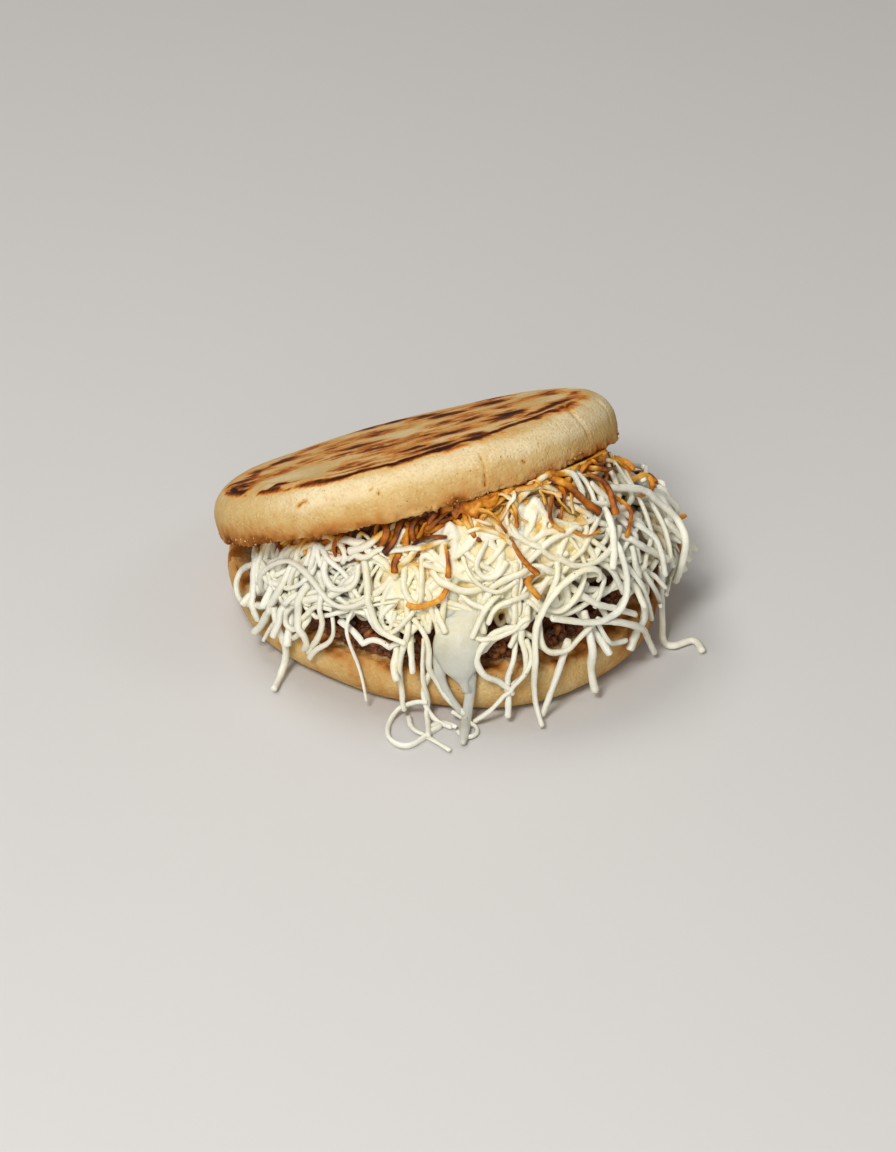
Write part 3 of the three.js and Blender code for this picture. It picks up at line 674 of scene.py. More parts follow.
def settle(rows):
    """Lets the shreds find room. In each round every point sags a little and is drawn towards where it was laid, the
    steps along a shred keep their length and its bends keep their spread, points of different shreds that are
    closer than their width push each other apart, and what dips into the heap's core, the beef, the cake's halves
    or the table is pushed out of it."""
    points, steps = stacked(rows)
    longest = points.shape[1]
    there = np.arange(longest)[None] < steps[:, None]
    home = points.copy()
    hold = np.array([row["hold"] for row in rows])[:, None, None]
    firm = hold[..., 0] > FIRM
    links = [
        (reach, stiff, there[:, reach:], np.linalg.norm(home[:, reach:] - home[:, :-reach], axis=-1))
        for reach, stiff in LINKS
    ]
    flat = np.flatnonzero(there)
    owner, order = flat // longest, flat % longest
    width = np.array([row["width"] for row in rows])[owner]
    give = np.where(firm[:, 0], GIVE_OF_LAID, 1.0)[owner]
    for turn in range(ROUNDS):
        points = points + hold * (home - points) * there[..., None]
        points[..., 2] -= SAG * there * (1 - 0.9 * firm)
        shift, weight = np.zeros_like(points), np.full(points.shape[:2], 1e-9)
        for reach, stiff, ok, rest in links:
            way = points[:, reach:] - points[:, :-reach]
            size = np.linalg.norm(way, axis=-1)
            pull = (ok * stiff * 0.5 * (size - rest) / np.maximum(size, 1e-6))[..., None] * way
            shift[:, :-reach] += pull
            shift[:, reach:] -= pull
            weight[:, :-reach] += ok
            weight[:, reach:] += ok
        points = points + 1.3 * shift / np.maximum(weight, 1)[..., None]
        loose = points.reshape(-1, 3)[flat]
        if turn % SEARCH_EVERY == 0:
            pairs = near_pairs(loose, NEIGHBOUR)
            same = (owner[pairs[0]] == owner[pairs[1]]) & (abs(order[pairs[0]] - order[pairs[1]]) < 4)
            pairs = pairs[:, ~same]
        a, b = pairs
        apart = loose[a] - loose[b]
        size = np.maximum(np.linalg.norm(apart, axis=-1), 1e-6)
        over = np.clip(TOUCH * (width[a] + width[b]) - size, 0, None)
        push = apart * (over / size / (give[a] + give[b]))[:, None]
        hits = np.bincount(a, over > 0, len(loose)) + np.bincount(b, over > 0, len(loose))
        for k in range(3):
            moved = np.bincount(a, push[:, k], len(loose)) - np.bincount(b, push[:, k], len(loose))
            loose[:, k] += give * moved / np.maximum(hits, 1) ** 0.6
        whole = points.reshape(-1, 3).copy()
        whole[flat] = kept_out(loose, 0.5 * width)
        points = whole.reshape(points.shape)
        if turn % EVEN_EVERY == EVEN_EVERY - 1:  # even out kinks
            bent = 0.5 * (points[:, 2:] + points[:, :-2]) - points[:, 1:-1]
            points[:, 1:-1] += EVEN_SHARE * bent * there[:, 2:, None]
    for n, row in enumerate(rows):
        row["route"] = points[n, : steps[n]]


def kept_out(points, half):
    """Points pushed out of the solids: radially out of the heap's core and of the lower half's side, up off its cut
    face, the beef and the table, and down from the upper half's cut or out past its rim. Each is pushed the shorter
    way, and not far in one round."""
    x, y, z = points.T
    radius = np.maximum(np.hypot(x, y), 1e-6)
    azimuth = np.arctan2(y, x)
    cut = cut_height(x, y)
    # the core: its side read off the table, and how it leans
    column, row = side_column(x, y), np.clip(z, 0, TOP_ROW)
    c0, r0 = np.floor(column).astype(int), np.floor(row).astype(int)
    cs, rs = column - c0, row - r0
    c0, c1 = c0 % SIDE_COLUMNS, (c0 + 1) % SIDE_COLUMNS
    low, high = (mix(SIDE_TABLE[c0, r], SIDE_TABLE[c1, r], cs) for r in (r0, r0 + 1))
    side = mix(low, high, rs)
    slope = SIDE_TABLE[c0, np.minimum(r0 + 2, SIDE_ROWS - 1)] - SIDE_TABLE[c0, np.maximum(r0 - 1, 0)]
    lean = np.clip(-slope / 3, -1.5, 3)
    size = np.sqrt(1 + lean * lean)
    deep = np.where(z > cut + BEEF_ROOM - 1, side - CORE_INSET - radius, -1)
    deep = np.clip(np.minimum(deep / size, CORE_CREEP), 0, None)
    radius_new = radius + deep / size
    z = z + deep * lean / size
    # the beef and the cut face
    rim = lower_rim(azimuth)
    top = cut + half + np.where(radius_new < beef_reach(azimuth) + 1, BEEF_HEIGHT + 0.3, 0)
    under = (radius_new < rim + half) & (z < top)
    go_up = under & (top - z < (rim + half - radius_new) * 1.2)
    z = np.where(go_up, np.minimum(top, z + CREEP), z)
    radius_new = np.where(under & ~go_up, np.minimum(rim + half, radius_new + CREEP), radius_new)
    # the table
    z = np.maximum(z, half)
    new = np.stack([x * radius_new / radius, y * radius_new / radius, z], -1)
    # the upper half
    local = (new - seat) @ lid_frame
    far = np.hypot(local[:, 0], local[:, 1])
    edge = upper_rim(np.arctan2(local[:, 1], local[:, 0]))
    inside = (far < edge + half) & (local[:, 2] > -half) & (local[:, 2] < UPPER_THICKNESS)
    sink = local[:, 2] + half
    clear = edge + half - far
    down = inside & (sink < clear * 1.5)
    local[:, 2] -= np.where(down, np.minimum(sink, CREEP), 0)
    grow = 1 + np.where(inside & ~down, np.minimum(clear, CREEP), 0) / np.maximum(far, 1)
    local[:, :2] *= grow[:, None]
    return local @ lid_frame.T + seat


# ---- Shreds: tubes


def woven(points, steps):
    """Each route with a point added between every two of its points by the four-point rule, and its new number of
    points. Points past a route's end repeat its last."""
    count, longest = points.shape[:2]
    at = np.minimum(np.arange(longest)[None], steps[:, None] - 1)
    points = np.take_along_axis(points, at[..., None], 1)
    before = np.concatenate([2 * points[:, :1] - points[:, 1:2], points[:, :-1]], 1)
    after = np.concatenate([points[:, 1:], points[:, -1:]], 1)
    beyond = np.concatenate([after[:, 1:], after[:, -1:]], 1)
    middle = (9 * (points + after) - before - beyond) / 16
    new = np.empty((count, 2 * longest, 3))
    new[:, ::2], new[:, 1::2] = points, middle
    return new, 2 * steps - 1


SIDES = 9  # of a shred's section
SQUARENESS = 3.4  # power of the section's oval: 2 is round, and more is squarer
END_SHARE, BLUNT, POLE_OUT, FLOOR_CLEAR = 0.74, 0.16, 1.15, 0.02  # a cut end's ring, length and pole, and the table


def tubes(name, rows, material, seed, flatness, ragged):
    """Shreds as one mesh: a rounded-square profile, an oval of a high power, carried along each route. The profile
    keeps its roll by sliding the frame along the route, turns by a slow twist, swells and thins with grain, and is
    closed by a narrower ring and a pole at both cut ends."""
    rng = np.random.default_rng(seed)
    count = len(rows)
    each = np.arange(count)
    points, steps = woven(*stacked(rows))
    longest = points.shape[1]
    there = np.arange(longest)[None] < steps[:, None]
    at = np.minimum(np.arange(longest)[None], steps[:, None] - 1)[..., None]
    points = np.take_along_axis(points, at, 1)
    forward = np.concatenate([points[:, 1:], points[:, -1:]], 1) - np.concatenate([points[:, :1], points[:, :-1]], 1)
    ahead = np.take_along_axis(unit(forward), at, 1)
    normal = np.empty_like(points)
    normal[:, 0] = unit(np.cross(ahead[:, 0], unit(rng.standard_normal((count, 3)))))
    for k in range(1, longest):  # slide the frame along all the routes at once
        slid = normal[:, k - 1] - (normal[:, k - 1] * ahead[:, k]).sum(-1, keepdims=True) * ahead[:, k]
        normal[:, k] = unit(slid)
    side = np.cross(ahead, normal)
    t = np.arange(longest)[None] / np.maximum(steps - 1, 1)[:, None]
    width = np.array([row["width"] for row in rows])[:, None]
    flat = rng.uniform(*flatness, (count, 1))
    taper = rng.uniform(0, 0.28, (count, 1)) * np.where(rng.random((count, 1)) < 0.5, t, 1 - t)
    swell = 1 - taper + 0.08 * grain(points, 2.6, 11) + 0.06 * grain(points, 9.0, 12)
    twist = 6.28 * rng.random((count, 1)) + rng.uniform(-1.6, 1.6, (count, 1)) * t
    angle = angles(SIDES)
    oval = (np.abs(np.cos(angle)) ** SQUARENESS + np.abs(np.sin(angle)) ** SQUARENESS) ** (-1 / SQUARENESS)
    half_wide = (0.5 * width * swell)[..., None] * (np.cos(angle) * oval)
    half_high = (0.5 * width * swell * flat)[..., None] * (np.sin(angle) * oval)
    turned, raised = np.cos(twist)[..., None], np.sin(twist)[..., None]
    u, v = turned * normal + raised * side, -raised * normal + turned * side
    offset = u[:, :, None] * half_wide[..., None] + v[:, :, None] * half_high[..., None]
    rough = 1 + ragged * grain(points[:, :, None] + 1.7 * offset, 1.1, 13)
    # the mesh's rings: each shred's own, and one beyond each of its ends
    first, final = points[:, 0], points[each, steps - 1]
    ahead_first, ahead_final = ahead[:, 0] * (BLUNT * width), ahead[each, steps - 1] * (BLUNT * width)
    base = np.concatenate([[0], np.cumsum(steps + 2)])[:-1]
    top = base + steps + 1
    total = (steps + 2).sum()
    ring_of = (base[:, None] + 1 + np.arange(longest)[None])[there]
    rings = np.empty((total, SIDES, 3))
    rings[ring_of] = (points[:, :, None] + offset * rough[..., None])[there]
    rings[base] = first[:, None] + END_SHARE * offset[:, 0] - ahead_first[:, None]
    rings[top] = final[:, None] + END_SHARE * offset[each, steps - 1] + ahead_final[:, None]
    poles = np.stack([first - ahead_first * POLE_OUT, final + ahead_final * POLE_OUT], 1).reshape(-1, 3)
    cloud = np.concatenate([rings.reshape(-1, 3), poles])
    cloud[:, 2] = np.maximum(cloud[:, 2], FLOOR_CLEAR)

    def for_each_point(field):
        """A field of the routes' points for each point of the mesh."""
        line = np.empty(total)
        line[ring_of] = field[there]
        line[base], line[top] = field[:, 0], field[each, steps - 1]
        return np.concatenate([np.repeat(line, SIDES), np.stack([line[base], line[top]], 1).ravel()])

    toast = np.array([row["toast"] for row in rows])[:, None] * (0.82 + 0.5 * layers(points, 5.0, 2, 21))
    numbers = {
        "toast": for_each_point(toast),
        "shade": for_each_point(rng.random((count, 1)) + 0 * t),
        "edge": np.concatenate([np.tile(np.cos(angle) ** 2, total), np.full(2 * count, 0.6)]),
    }
    row = np.setdiff1d(np.arange(total), top)[:, None] * SIDES
    k = np.arange(SIDES)
    beside = (k + 1) % SIDES
    quads = np.stack([row + k, row + beside, row + SIDES + beside, row + SIDES + k], -1)
    pole = np.broadcast_to(total * SIDES + 2 * each[:, None], (count, SIDES))
    low = np.stack([pole, base[:, None] * SIDES + beside, base[:, None] * SIDES + k], -1)
    high = np.stack([pole + 1, top[:, None] * SIDES + k, top[:, None] * SIDES + beside], -1)
    return put(name, cloud, [quads.reshape(-1, 4), low.reshape(-1, 3), high.reshape(-1, 3)], material, numbers)


# ---- Materials


class Paint:
    """A material's nodes, made one by one, on the piece's own coordinates. Colours are screen colours of 0 to 255."""

    def __init__(self, name):
        self.material = bpy.data.materials.new(name)
        self.material.use_nodes = True
        self.tree = self.material.node_tree
        self.tree.nodes.clear()
        self.place = self.node("ShaderNodeTexCoord", {}).outputs["Object"]

    def node(self, kind, inputs, **settings):
        """A node of a kind with its settings, and what its inputs are given, by their names or numbers."""
        made = self.tree.nodes.new(kind)
        for key, value in settings.items():
            setattr(made, key, value)
        for key, value in inputs.items():
            self.feed(made.inputs[key], value)
        return made

    def feed(self, socket, value):
        """Gives a socket what another node makes, a screen colour if it is a tuple, or else the value itself."""
        if isinstance(value, bpy.types.NodeSocket):
            self.tree.links.new(value, socket)
        else:
            socket.default_value = linear(value) if isinstance(value, tuple) else value

    def noise(self, size, detail=3, roughness=0.55):
        """Noise whose lumps are about a size in millimetres."""
        inputs = {"Vector": self.place, "Scale": 1 / MM / size, "Detail": detail, "Roughness": roughness}
        return self.node("ShaderNodeTexNoise", inputs).outputs["Fac"]

    def cells(self, size):
        """The distance to the nearest of points strewn about a size in millimetres apart."""
        return self.node("ShaderNodeTexVoronoi", {"Vector": self.place, "Scale": 1 / MM / size}).outputs["Distance"]

    def number(self, name):
        """The number that the piece keeps for each point under a name."""
        return self.node("ShaderNodeAttribute", {}, attribute_name=name).outputs["Fac"]

    def sum(self, operation, *values):
        """Values taken together by an operation."""
        return self.node("ShaderNodeMath", dict(enumerate(values)), operation=operation).outputs[0]

    def swing(self, value, height):
        """A value of 0 to 1 carried round 0 instead of a half, times a height."""
        return self.sum("MULTIPLY", self.sum("SUBTRACT", value, 0.5), height)

    def span(self, value, low, high, to_low=0.0, to_high=1.0):
        """A value between low and high carried over to between two others, eased."""
        inputs = dict(enumerate((value, low, high, to_low, to_high)))
        return self.node("ShaderNodeMapRange", inputs, interpolation_type="SMOOTHSTEP").outputs[0]

    def ramp(self, value, *stops):
        """Colours at places between 0 and 1, blended straight between them."""
        made = self.node("ShaderNodeValToRGB", {0: value})
        elements = made.color_ramp.elements
        while len(elements) < len(stops):
            elements.new(0.5)
        for element, (position, *colour) in zip(elements, stops):
            element.position = position
            element.color = linear(colour)
        return made.outputs[0]

    def blend(self, share, a, b):
        """Colour a at share 0 and colour b at share 1."""
        return self.node("ShaderNodeMix", {0: share, 6: a, 7: b}, data_type="RGBA").outputs[2]

    def bump(self, height, depth, under=None):
        """Relief of a depth in millimetres, on top of what is under it."""
        made = self.node("ShaderNodeBump", {"Strength": 1, "Distance": depth * MM, "Height": height})
        if under is not None:
            self.feed(made.inputs["Normal"], under)
        return made.outputs[0]

    def finish(self, colour, roughness, normal, **fixed):
        """The material from its colour, roughness and relief, and from what is the same all over it."""
        inputs = {"Base Color": colour, "Roughness": roughness, "Normal": normal}
        shader = self.node("ShaderNodeBsdfPrincipled", inputs)
        for key, value in fixed.items():
            shader.inputs[key.replace("_", " ")].default_value = value
        self.node("ShaderNodeOutputMaterial", {"Surface": shader.outputs[0]})
        return self.material


def linear(colour):
    """A screen colour of 0 to 255 as the linear one that the shaders take: over 12.92 up to 10, and a power of 2.4
    above it."""
    return (*((c / 255 / 12.92) if c <= 10 else ((c / 255 + 0.055) / 1.055) ** 2.4 for c in colour), 1)


# Colours of toasted cheese, golden dough, charred dough and beef: how far along, and the screen colour there. Darker
# toasted-cheese and golden-dough colours also serve as painted shade.
CHEESE_TOAST = (
    (0.0, 240, 226, 178), (0.2, 234, 194, 102), (0.42, 216, 144, 36), (0.62, 180, 100, 16), (0.84, 114, 54, 10),
    (1.0, 60, 27, 9),
)
DOUGH_GOLD = (0.2, 213, 163, 82), (0.6, 186, 117, 42), (1.0, 112, 58, 20)
DOUGH_CHAR = (
    (0.0, 222, 186, 126), (0.16, 214, 158, 84), (0.34, 192, 118, 50), (0.5, 150, 78, 28), (0.68, 94, 44, 17),
    (0.95, 44, 22, 12),
)
BEEF_TINTS = (0.18, 52, 25, 9), (0.42, 96, 48, 18), (0.62, 140, 76, 30), (0.85, 190, 120, 58)


def cheese_material(name, low=(233, 231, 216), high=(243, 243, 231), gloss=(0.42, 0.58), relief=0.3, thin=0.0):
    """Cheese: a warm white between a low and a high tint that is yellower where it has melted, with painted shade in
    its deep places, dark brown where it has not melted and yellow where it has, golden to dark brown where it is
    toasted, with a soft gloss, and with the share of light that it lets through where it is thin."""
    p = Paint(name)
    toast, shade, melt = p.number("toast"), p.number("shade"), p.number("melt")
    speckle = p.noise(2.6, 4)
    white = p.blend(shade, low, high)
    yellow = p.blend(p.span(speckle, 0.35, 0.65), (241, 232, 192), (248, 245, 226))
    raw = p.blend(melt, white, yellow)
    raw = p.blend(p.span(speckle, 0.4, 0.75, 0.0, 0.2), raw, (222, 214, 184))
    raw = p.blend(p.span(p.cells(5.0), 0.03, 0.055, 0.85, 0), raw, (70, 54, 34))
    # painted shade in the heap's deep places: dark brown where the cheese has not melted, yellow where it has
    raw = p.blend(p.number("deep"), raw, p.blend(melt, (118, 90, 46), (240, 192, 40)))
    mottle = p.swing(p.noise(1.5, 3), p.span(toast, 0, 0.3, 0, 0.5))
    edge = p.sum("MULTIPLY", p.number("edge"), p.span(toast, 0.3, 0.55, 0, 0.24))
    browned = p.ramp(p.sum("ADD", p.sum("ADD", toast, edge), mottle), *CHEESE_TOAST)
    return p.finish(
        p.blend(p.span(toast, 0.03, 0.3), raw, browned),
        p.span(speckle, 0.3, 0.7, *gloss),
        p.bump(p.noise(0.6, 3, 0.6), 0.5 * relief, p.bump(p.noise(1.7, 3), relief)),
        Subsurface_Weight=thin,
        Subsurface_Radius=(1.0, 1.0, 1.0),
        Subsurface_Scale=0.0016,
        Specular_IOR_Level=0.35,
    )


def bread_material():
    """Corn dough: pale yellow with fine grain, pores and dark specks, golden where its rim was toasted and dark brown
    with orange halos where the griddle charred it. The golden number also carries painted shade on the halves' sides,
    and where it is low the dough turns pale cream, partly its own colour and partly a painted highlight."""
    p = Paint("griddled_corn_dough")
    char, golden, crumb = p.number("char"), p.number("golden"), p.number("crumb")
    broad, middle, fine = p.noise(16, 3), p.noise(3.2, 4), p.noise(0.8, 3, 0.6)
    base = p.blend(p.span(broad, 0.3, 0.7), (200, 167, 108), (217, 190, 134))
    # pale cream where the dough is least golden: the dough's own pale colour, and a painted highlight at the top of the
    # upper half's side
    base = p.blend(p.span(golden, 0.22, 0.0, 0, 0.6), base, (239, 225, 190))
    base = p.blend(p.span(middle, 0.45, 0.75, 0, 0.3), base, (198, 156, 94))
    base = p.blend(p.span(fine, 0.5, 0.8, 0, 0.6), base, (240, 224, 184))
    base = p.blend(p.span(fine, 0.5, 0.24, 0, 0.5), base, (182, 144, 86))
    base = p.blend(crumb, base, p.blend(p.span(fine, 0.3, 0.7), (184, 140, 92), (222, 190, 142)))
    # the golden ramp paints toasting and also the painted shade that the golden number carries
    gold = p.sum("ADD", golden, p.swing(middle, 0.5))
    base = p.blend(p.span(gold, 0.05, 0.9), base, p.ramp(gold, *DOUGH_GOLD))
    burnt = p.sum("ADD", char, p.swing(p.noise(1.5, 5, 0.7), p.span(char, 0, 0.35, 0.12, 0.9)))
    base = p.blend(p.span(burnt, 0.02, 0.22), base, p.ramp(burnt, *DOUGH_CHAR))
    specks = p.sum("MULTIPLY", p.span(p.cells(2.2), 0.05, 0.13, 1, 0), p.span(p.noise(7, 2), 0.5, 0.6))
    base = p.blend(p.sum("MULTIPLY", specks, 0.8), base, (96, 62, 30))
    dots = p.sum("MULTIPLY", p.span(p.cells(1.2), 0.06, 0.24, 0.6, 0), p.span(p.noise(3.6, 3), 0.48, 0.62))
    base = p.blend(dots, base, (166, 104, 42))
    pores = p.span(p.cells(1.5), 0.05, 0.45)
    return p.finish(
        base,
        p.span(fine, 0.3, 0.7, 0.72, 0.84),
        p.bump(pores, 0.13, p.bump(fine, 0.26, p.bump(middle, 0.16))),
        Subsurface_Weight=0.12,
        Subsurface_Radius=(1.0, 0.6, 0.3),
        Subsurface_Scale=0.0012,
        Specular_IOR_Level=0.1,
    )


def beef_material():
    """Minced beef: dark red-brown lumps, lighter and greyer on some, wet with fat."""
    p = Paint("minced_beef")
    broad, fine = p.noise(3.4, 4), p.noise(0.8, 4, 0.62)
    tint = p.sum("ADD", p.sum("MULTIPLY", broad, 0.55), p.sum("MULTIPLY", p.number("shade"), 0.45))
    bump = p.bump(fine, 0.3, p.bump(broad, 0.7))
    return p.finish(p.ramp(tint, *BEEF_TINTS), p.span(fine, 0.3, 0.7, 0.24, 0.5), bump, Specular_IOR_Level=0.55)


def paper_material():
    """The floor's plain pale paper: one linear tint, and a slightly darker one where noise is low."""
    p = Paint("studio_paper")
    tint = [0.62, 0.61, 0.6, 1]
    darker = [c * 0.985 for c in tint[:3]] + [1]
    return p.finish(p.blend(p.noise(60, 2), darker, tint), 0.85, p.bump(p.noise(1.5, 2), 0.02))


bread = bread_material()
cheese = cheese_material("grated_cheese")
melted_cheese = cheese_material("melted_cheese", (176, 177, 166), (198, 199, 190), (0.36, 0.5), 0.2, 0.5)
beef_skin = beef_material()


# ---- The breads

COLUMNS = 700  # of half a cake's surface, round it
round_azimuth = angles(COLUMNS)


def cake_rows():
    """Share of the way out, inset from the rim and rise of each row of half a cake, from its griddled face to its cut:
    the flat face, a quarter oval, the cut edge that draws in, and the cut face."""
    face = [(s, RIM_ROUND, 0.0) for s in np.concatenate([np.linspace(0.02, 0.82, 36), np.linspace(0.84, 0.995, 20)])]
    turn = np.linspace(0, math.pi / 2, 30)
    edge = [(1.0, RIM_ROUND * (1 - math.sin(t)), BELLY * (1 - math.cos(t))) for t in turn]
    turn = np.linspace(0, math.pi / 2, 16)[1:]
    cut = [(1.0, RIM_NIP * (1 - math.cos(t)), mix(BELLY, 1, math.sin(t))) for t in turn]
    inner = [(s, RIM_NIP, 1.0) for s in np.concatenate([np.linspace(0.99, 0.86, 10), np.linspace(0.82, 0.02, 16)])]
    return np.array(face + edge + cut + inner)


def line_distance(points, line):
    """The distance from each point to a line of short straight pieces: to the nearest point of each piece."""
    best = np.full(points.shape[:-1], 1e9)
    for a, b in zip(line[:-1], line[1:]):
        along = b - a
        share = np.clip(((points - a) @ along) / (along @ along), 0, 1)
        best = np.minimum(best, np.linalg.norm(points - a - share[..., None] * along, axis=-1))
    return best


def half_cake(rim, top, crown, seed):
    """Half a cake in its own frame, griddled face at height 0 and cut face at the top height: rows of the section
    carried round the outline, roughened by layers of grain along the outward direction, most along the torn cut edge.
    With it come the rise and the share of the way out of each point."""
    share, inset, rise = cake_rows().T[:, :, None]
    radius = share * (rim(round_azimuth) - inset)
    x, y = radius * np.cos(round_azimuth), radius * np.sin(round_azimuth)
    height = rise * top(x, y)
    height = height - (rise == 0) * crown * np.clip(1 - (radius / (UPPER_RADIUS - RIM_ROUND)) ** 2, 0, None)
    points = np.stack([x, y, height], -1)
    torn = bell(rise, 1, 0.16) * (share > 0.93)
    push = 0.22 * layers(points, 16, 2, seed) + 0.05 * layers(points, 2.4, 2, seed + 5)
    push = push + torn * (0.6 * layers(points, 4.4, 3, seed + 9) + 0.5 * layers(points, 1.5, 2, seed + 8) + 0.1)
    inside = (rise >= 0.999) & (share < 0.97)
    push = push + inside * 0.6 * layers(points, 2.6, 3, seed + 3)
    flat = (rise == 0) * (1 - ease(0.9, 1, share))
    push = push * (1 - 0.55 * flat)
    return points + push[..., None] * grid_out(points), rise + 0 * radius, share + 0 * radius


def bread_piece(name, node, grid, ends, rise, share, golden, char):
    """A half's mesh, closed by a pole on each face, with how golden, charred and crumbly each point is."""
    cloud, faces = closed(grid, *ends)
    numbers = {"golden": np.clip(golden, 0, 1), "char": char, "crumb": (rise > 0.995) * (share < 0.97) * 1.0}
    dress(put(name, cloud, faces, bread, {key: with_poles(field) for key, field in numbers.items()}), node)


def lower_half():
    """The lower half, which lies on its griddled face: golden in a bell along the torn edge of the mouth and, by
    layers of grain, all over its side, and more golden towards its right, which is painted shade. Gives its grid
    and where that is torn."""
    points, rise, share = half_cake(lower_rim, cut_height, 0.0, 3)
    points[..., 2] = np.maximum(points[..., 2], 0)
    azimuth = np.arctan2(points[..., 1], points[..., 0])
    edge = 0.5 * bell(rise, 1.0, 0.12) * ease(0.86, 0.95, share) * (0.7 + 1.1 * layers(points, 7, 3, 77))
    edge = edge * mix(0.3, 1, ease(-0.2, 0.6, np.cos(azimuth - MOUTH_AZIMUTH)))
    # the middle term is painted shade: more golden over azimuths -62 to -20 degrees, the side's right part
    side = 0.38 + 0.22 * ease(-62, -20, azimuth / DEGREE) + 0.26 * layers(points, 12, 2, 78)
    golden = edge + (rise > 0) * side * (1 - ease(0.985, 1, rise) * ease(0.97, 0.9, share))
    char = np.clip((rise < 0.02) * (share < 0.985) * 0.5 * (0.5 + layers(points, 12, 3, 79)), 0, 1)
    ends = [0, 0, 0], [0, 0, LOWER_THICKNESS]
    bread_piece("lower_bread", "lower_half", points, ends, rise, share, golden, char)
    return points, (rise > 0.9) & (share > 0.985)


# Char on the upper half's griddled face, in its own frame: middle, half sizes, turn in degrees and strength.
CHAR = [
    (-47.5, -20, 2.2, 6, 14, 0.55), (-49, -2, 2.4, 9, -4, 0.6), (-40, 15, 3, 10, -24, 0.6),
    (-33, 33, 3, 7, -12, 0.42), (38, -36, 7, 1.8, 42, 0.8), (45, -17, 2.4, 10, -30, 0.78), (53, 2, 2.0, 8, 8, 0.5),
    (46, 18, 2.6, 9, 24, 0.5), (-8, -18, 4.5, 7, 10, 0.66), (-19, -12, 4, 6, 0, 0.42), (-15, 3, 7, 5, -40, 0.46),
    (-12, -41, 6, 4, -10, 0.56), (-4, -50, 8, 2.6, -4, 0.5), (6, -11, 7, 5, 0, 0.42), (5, -38, 3.0, 1.5, 34, 0.8),
    (12, -45, 7, 2.6, 14, 0.55), (23, -41, 4, 4.5, 20, 0.7), (17, -24, 6, 3.4, 8, 0.44), (14, 4, 7, 4.5, 20, 0.58),
    (21, -3, 3.6, 5, -20, 0.66), (33, -13, 3.6, 7, -6, 0.82), (30, 8, 3, 6, 12, 0.42), (3, 42, 4, 9, 24, 0.6),
    (10, 28, 4, 8, 28, 0.64), (-5, 51, 3.6, 6, 0, 0.62), (-16, 52, 4, 5, 0, 0.62), (-11, 24, 4, 8, 10, 0.4),
    (-30, -4, 3, 4, 0, 0.46), (-24, 15, 3, 6, -14, 0.36), (26, 30, 4, 8, 30, 0.5), (28, 44, 6, 6, 30, 0.45),
    (-36, -12, 2, 7, 0, 0.3),
]

# Thin char lines near that face's edge: points in the same frame, half width and strength.
CHAR_LINES = [
    ([(-44, -36), (-39, -42.5), (-33, -47.5), (-25, -51.8), (-17.7, -54.5), (-9, -55.8), (1, -56), (9, -54), (17, -51),
      (24, -47)], 1.4, 1.0),
    ([(24, -47), (30, -42.5), (36, -36.5), (42, -30.5), (47, -27)], 1.9, 0.9),
    ([(-55, -26), (-50, -32), (-43, -38.5), (-36, -44)], 1.3, 0.9),
    ([(-52, -18), (-50, -27), (-45, -33), (-37, -39), (-30, -43.5)], 1.3, 0.8),
    ([(-56, -8), (-54.5, -18), (-51, -25)], 1.2, 0.8),
    ([(47, -27), (51, -20), (54, -12)], 0.8, 0.4),
    ([(-20, -49.5), (-8, -51.5), (4, -50), (14, -46)], 0.7, 0.6),
    ([(30, -34), (38, -27), (44, -19)], 1.0, 0.5),
]


def griddle_marks(x, y, seed):
    """How charred the griddled face is: the strongest of the marks, over a soft patchy browning. A mark is its strength
    times e to minus half the square of the way from its middle over its half sizes. A thin line is its strength times
    a bell across it, with a wider and weaker bell as a halo. Grain bends all the outlines, and breaks up the lines'
    left end."""
    flat = np.stack([x, y, 0 * x], -1)
    bent_x = x + 2.2 * layers(flat, 8, 3, seed) + 0.5 * layers(flat, 2.2, 2, seed + 3)
    bent_y = y + 1.6 * layers(flat, 7, 3, seed + 40) + 0.5 * layers(flat, 2.2, 2, seed + 43)
    total = np.zeros_like(x)
    for cx, cy, rx, ry, turn, strength in CHAR:
        c, s = math.cos(turn * DEGREE), math.sin(turn * DEGREE)
        u = (c * (bent_x - cx) + s * (bent_y - cy)) / rx
        v = (-s * (bent_x - cx) + c * (bent_y - cy)) / ry
        total = np.maximum(total, strength * np.exp(-0.5 * (u * u + v * v)))
    wavy = np.stack([x + 0.16 * (bent_x - x), y + 0.22 * (bent_y - y), 0 * x], -1)
    whole = mix(1, ease(-0.3, 0.1, layers(flat, 7, 2, seed + 90)), ease(-22, -38, x))
    swell = 1.1 + 0.7 * layers(flat, 6, 2, seed + 50)
    for line, half, strength in CHAR_LINES:
        gone = line_distance(wavy, np.array([(*point, 0) for point in line], float))
        burn, wide = strength * whole, half * swell
        total = np.maximum(total, burn * bell(gone, 0, np.maximum(wide, 0.3)))
        total = np.maximum(total, 0.34 * burn * bell(gone, 0, wide + 2.4))
    streak = layers(np.stack([x / 1.7, y, 0 * x], -1), 2.4, 4, seed + 60)
    patch = layers(np.stack([x / 1.3, y, 0 * x], -1), 10, 4, seed + 70)
    crisp = 0.5 + 0.5 * ease(0.2, 0.42, total + 0.3 * streak)
    return np.clip(1.1 * total * crisp * (1 + 0.3 * streak) + 0.3 * np.clip(patch + 0.1, 0, None), 0, 1.05)


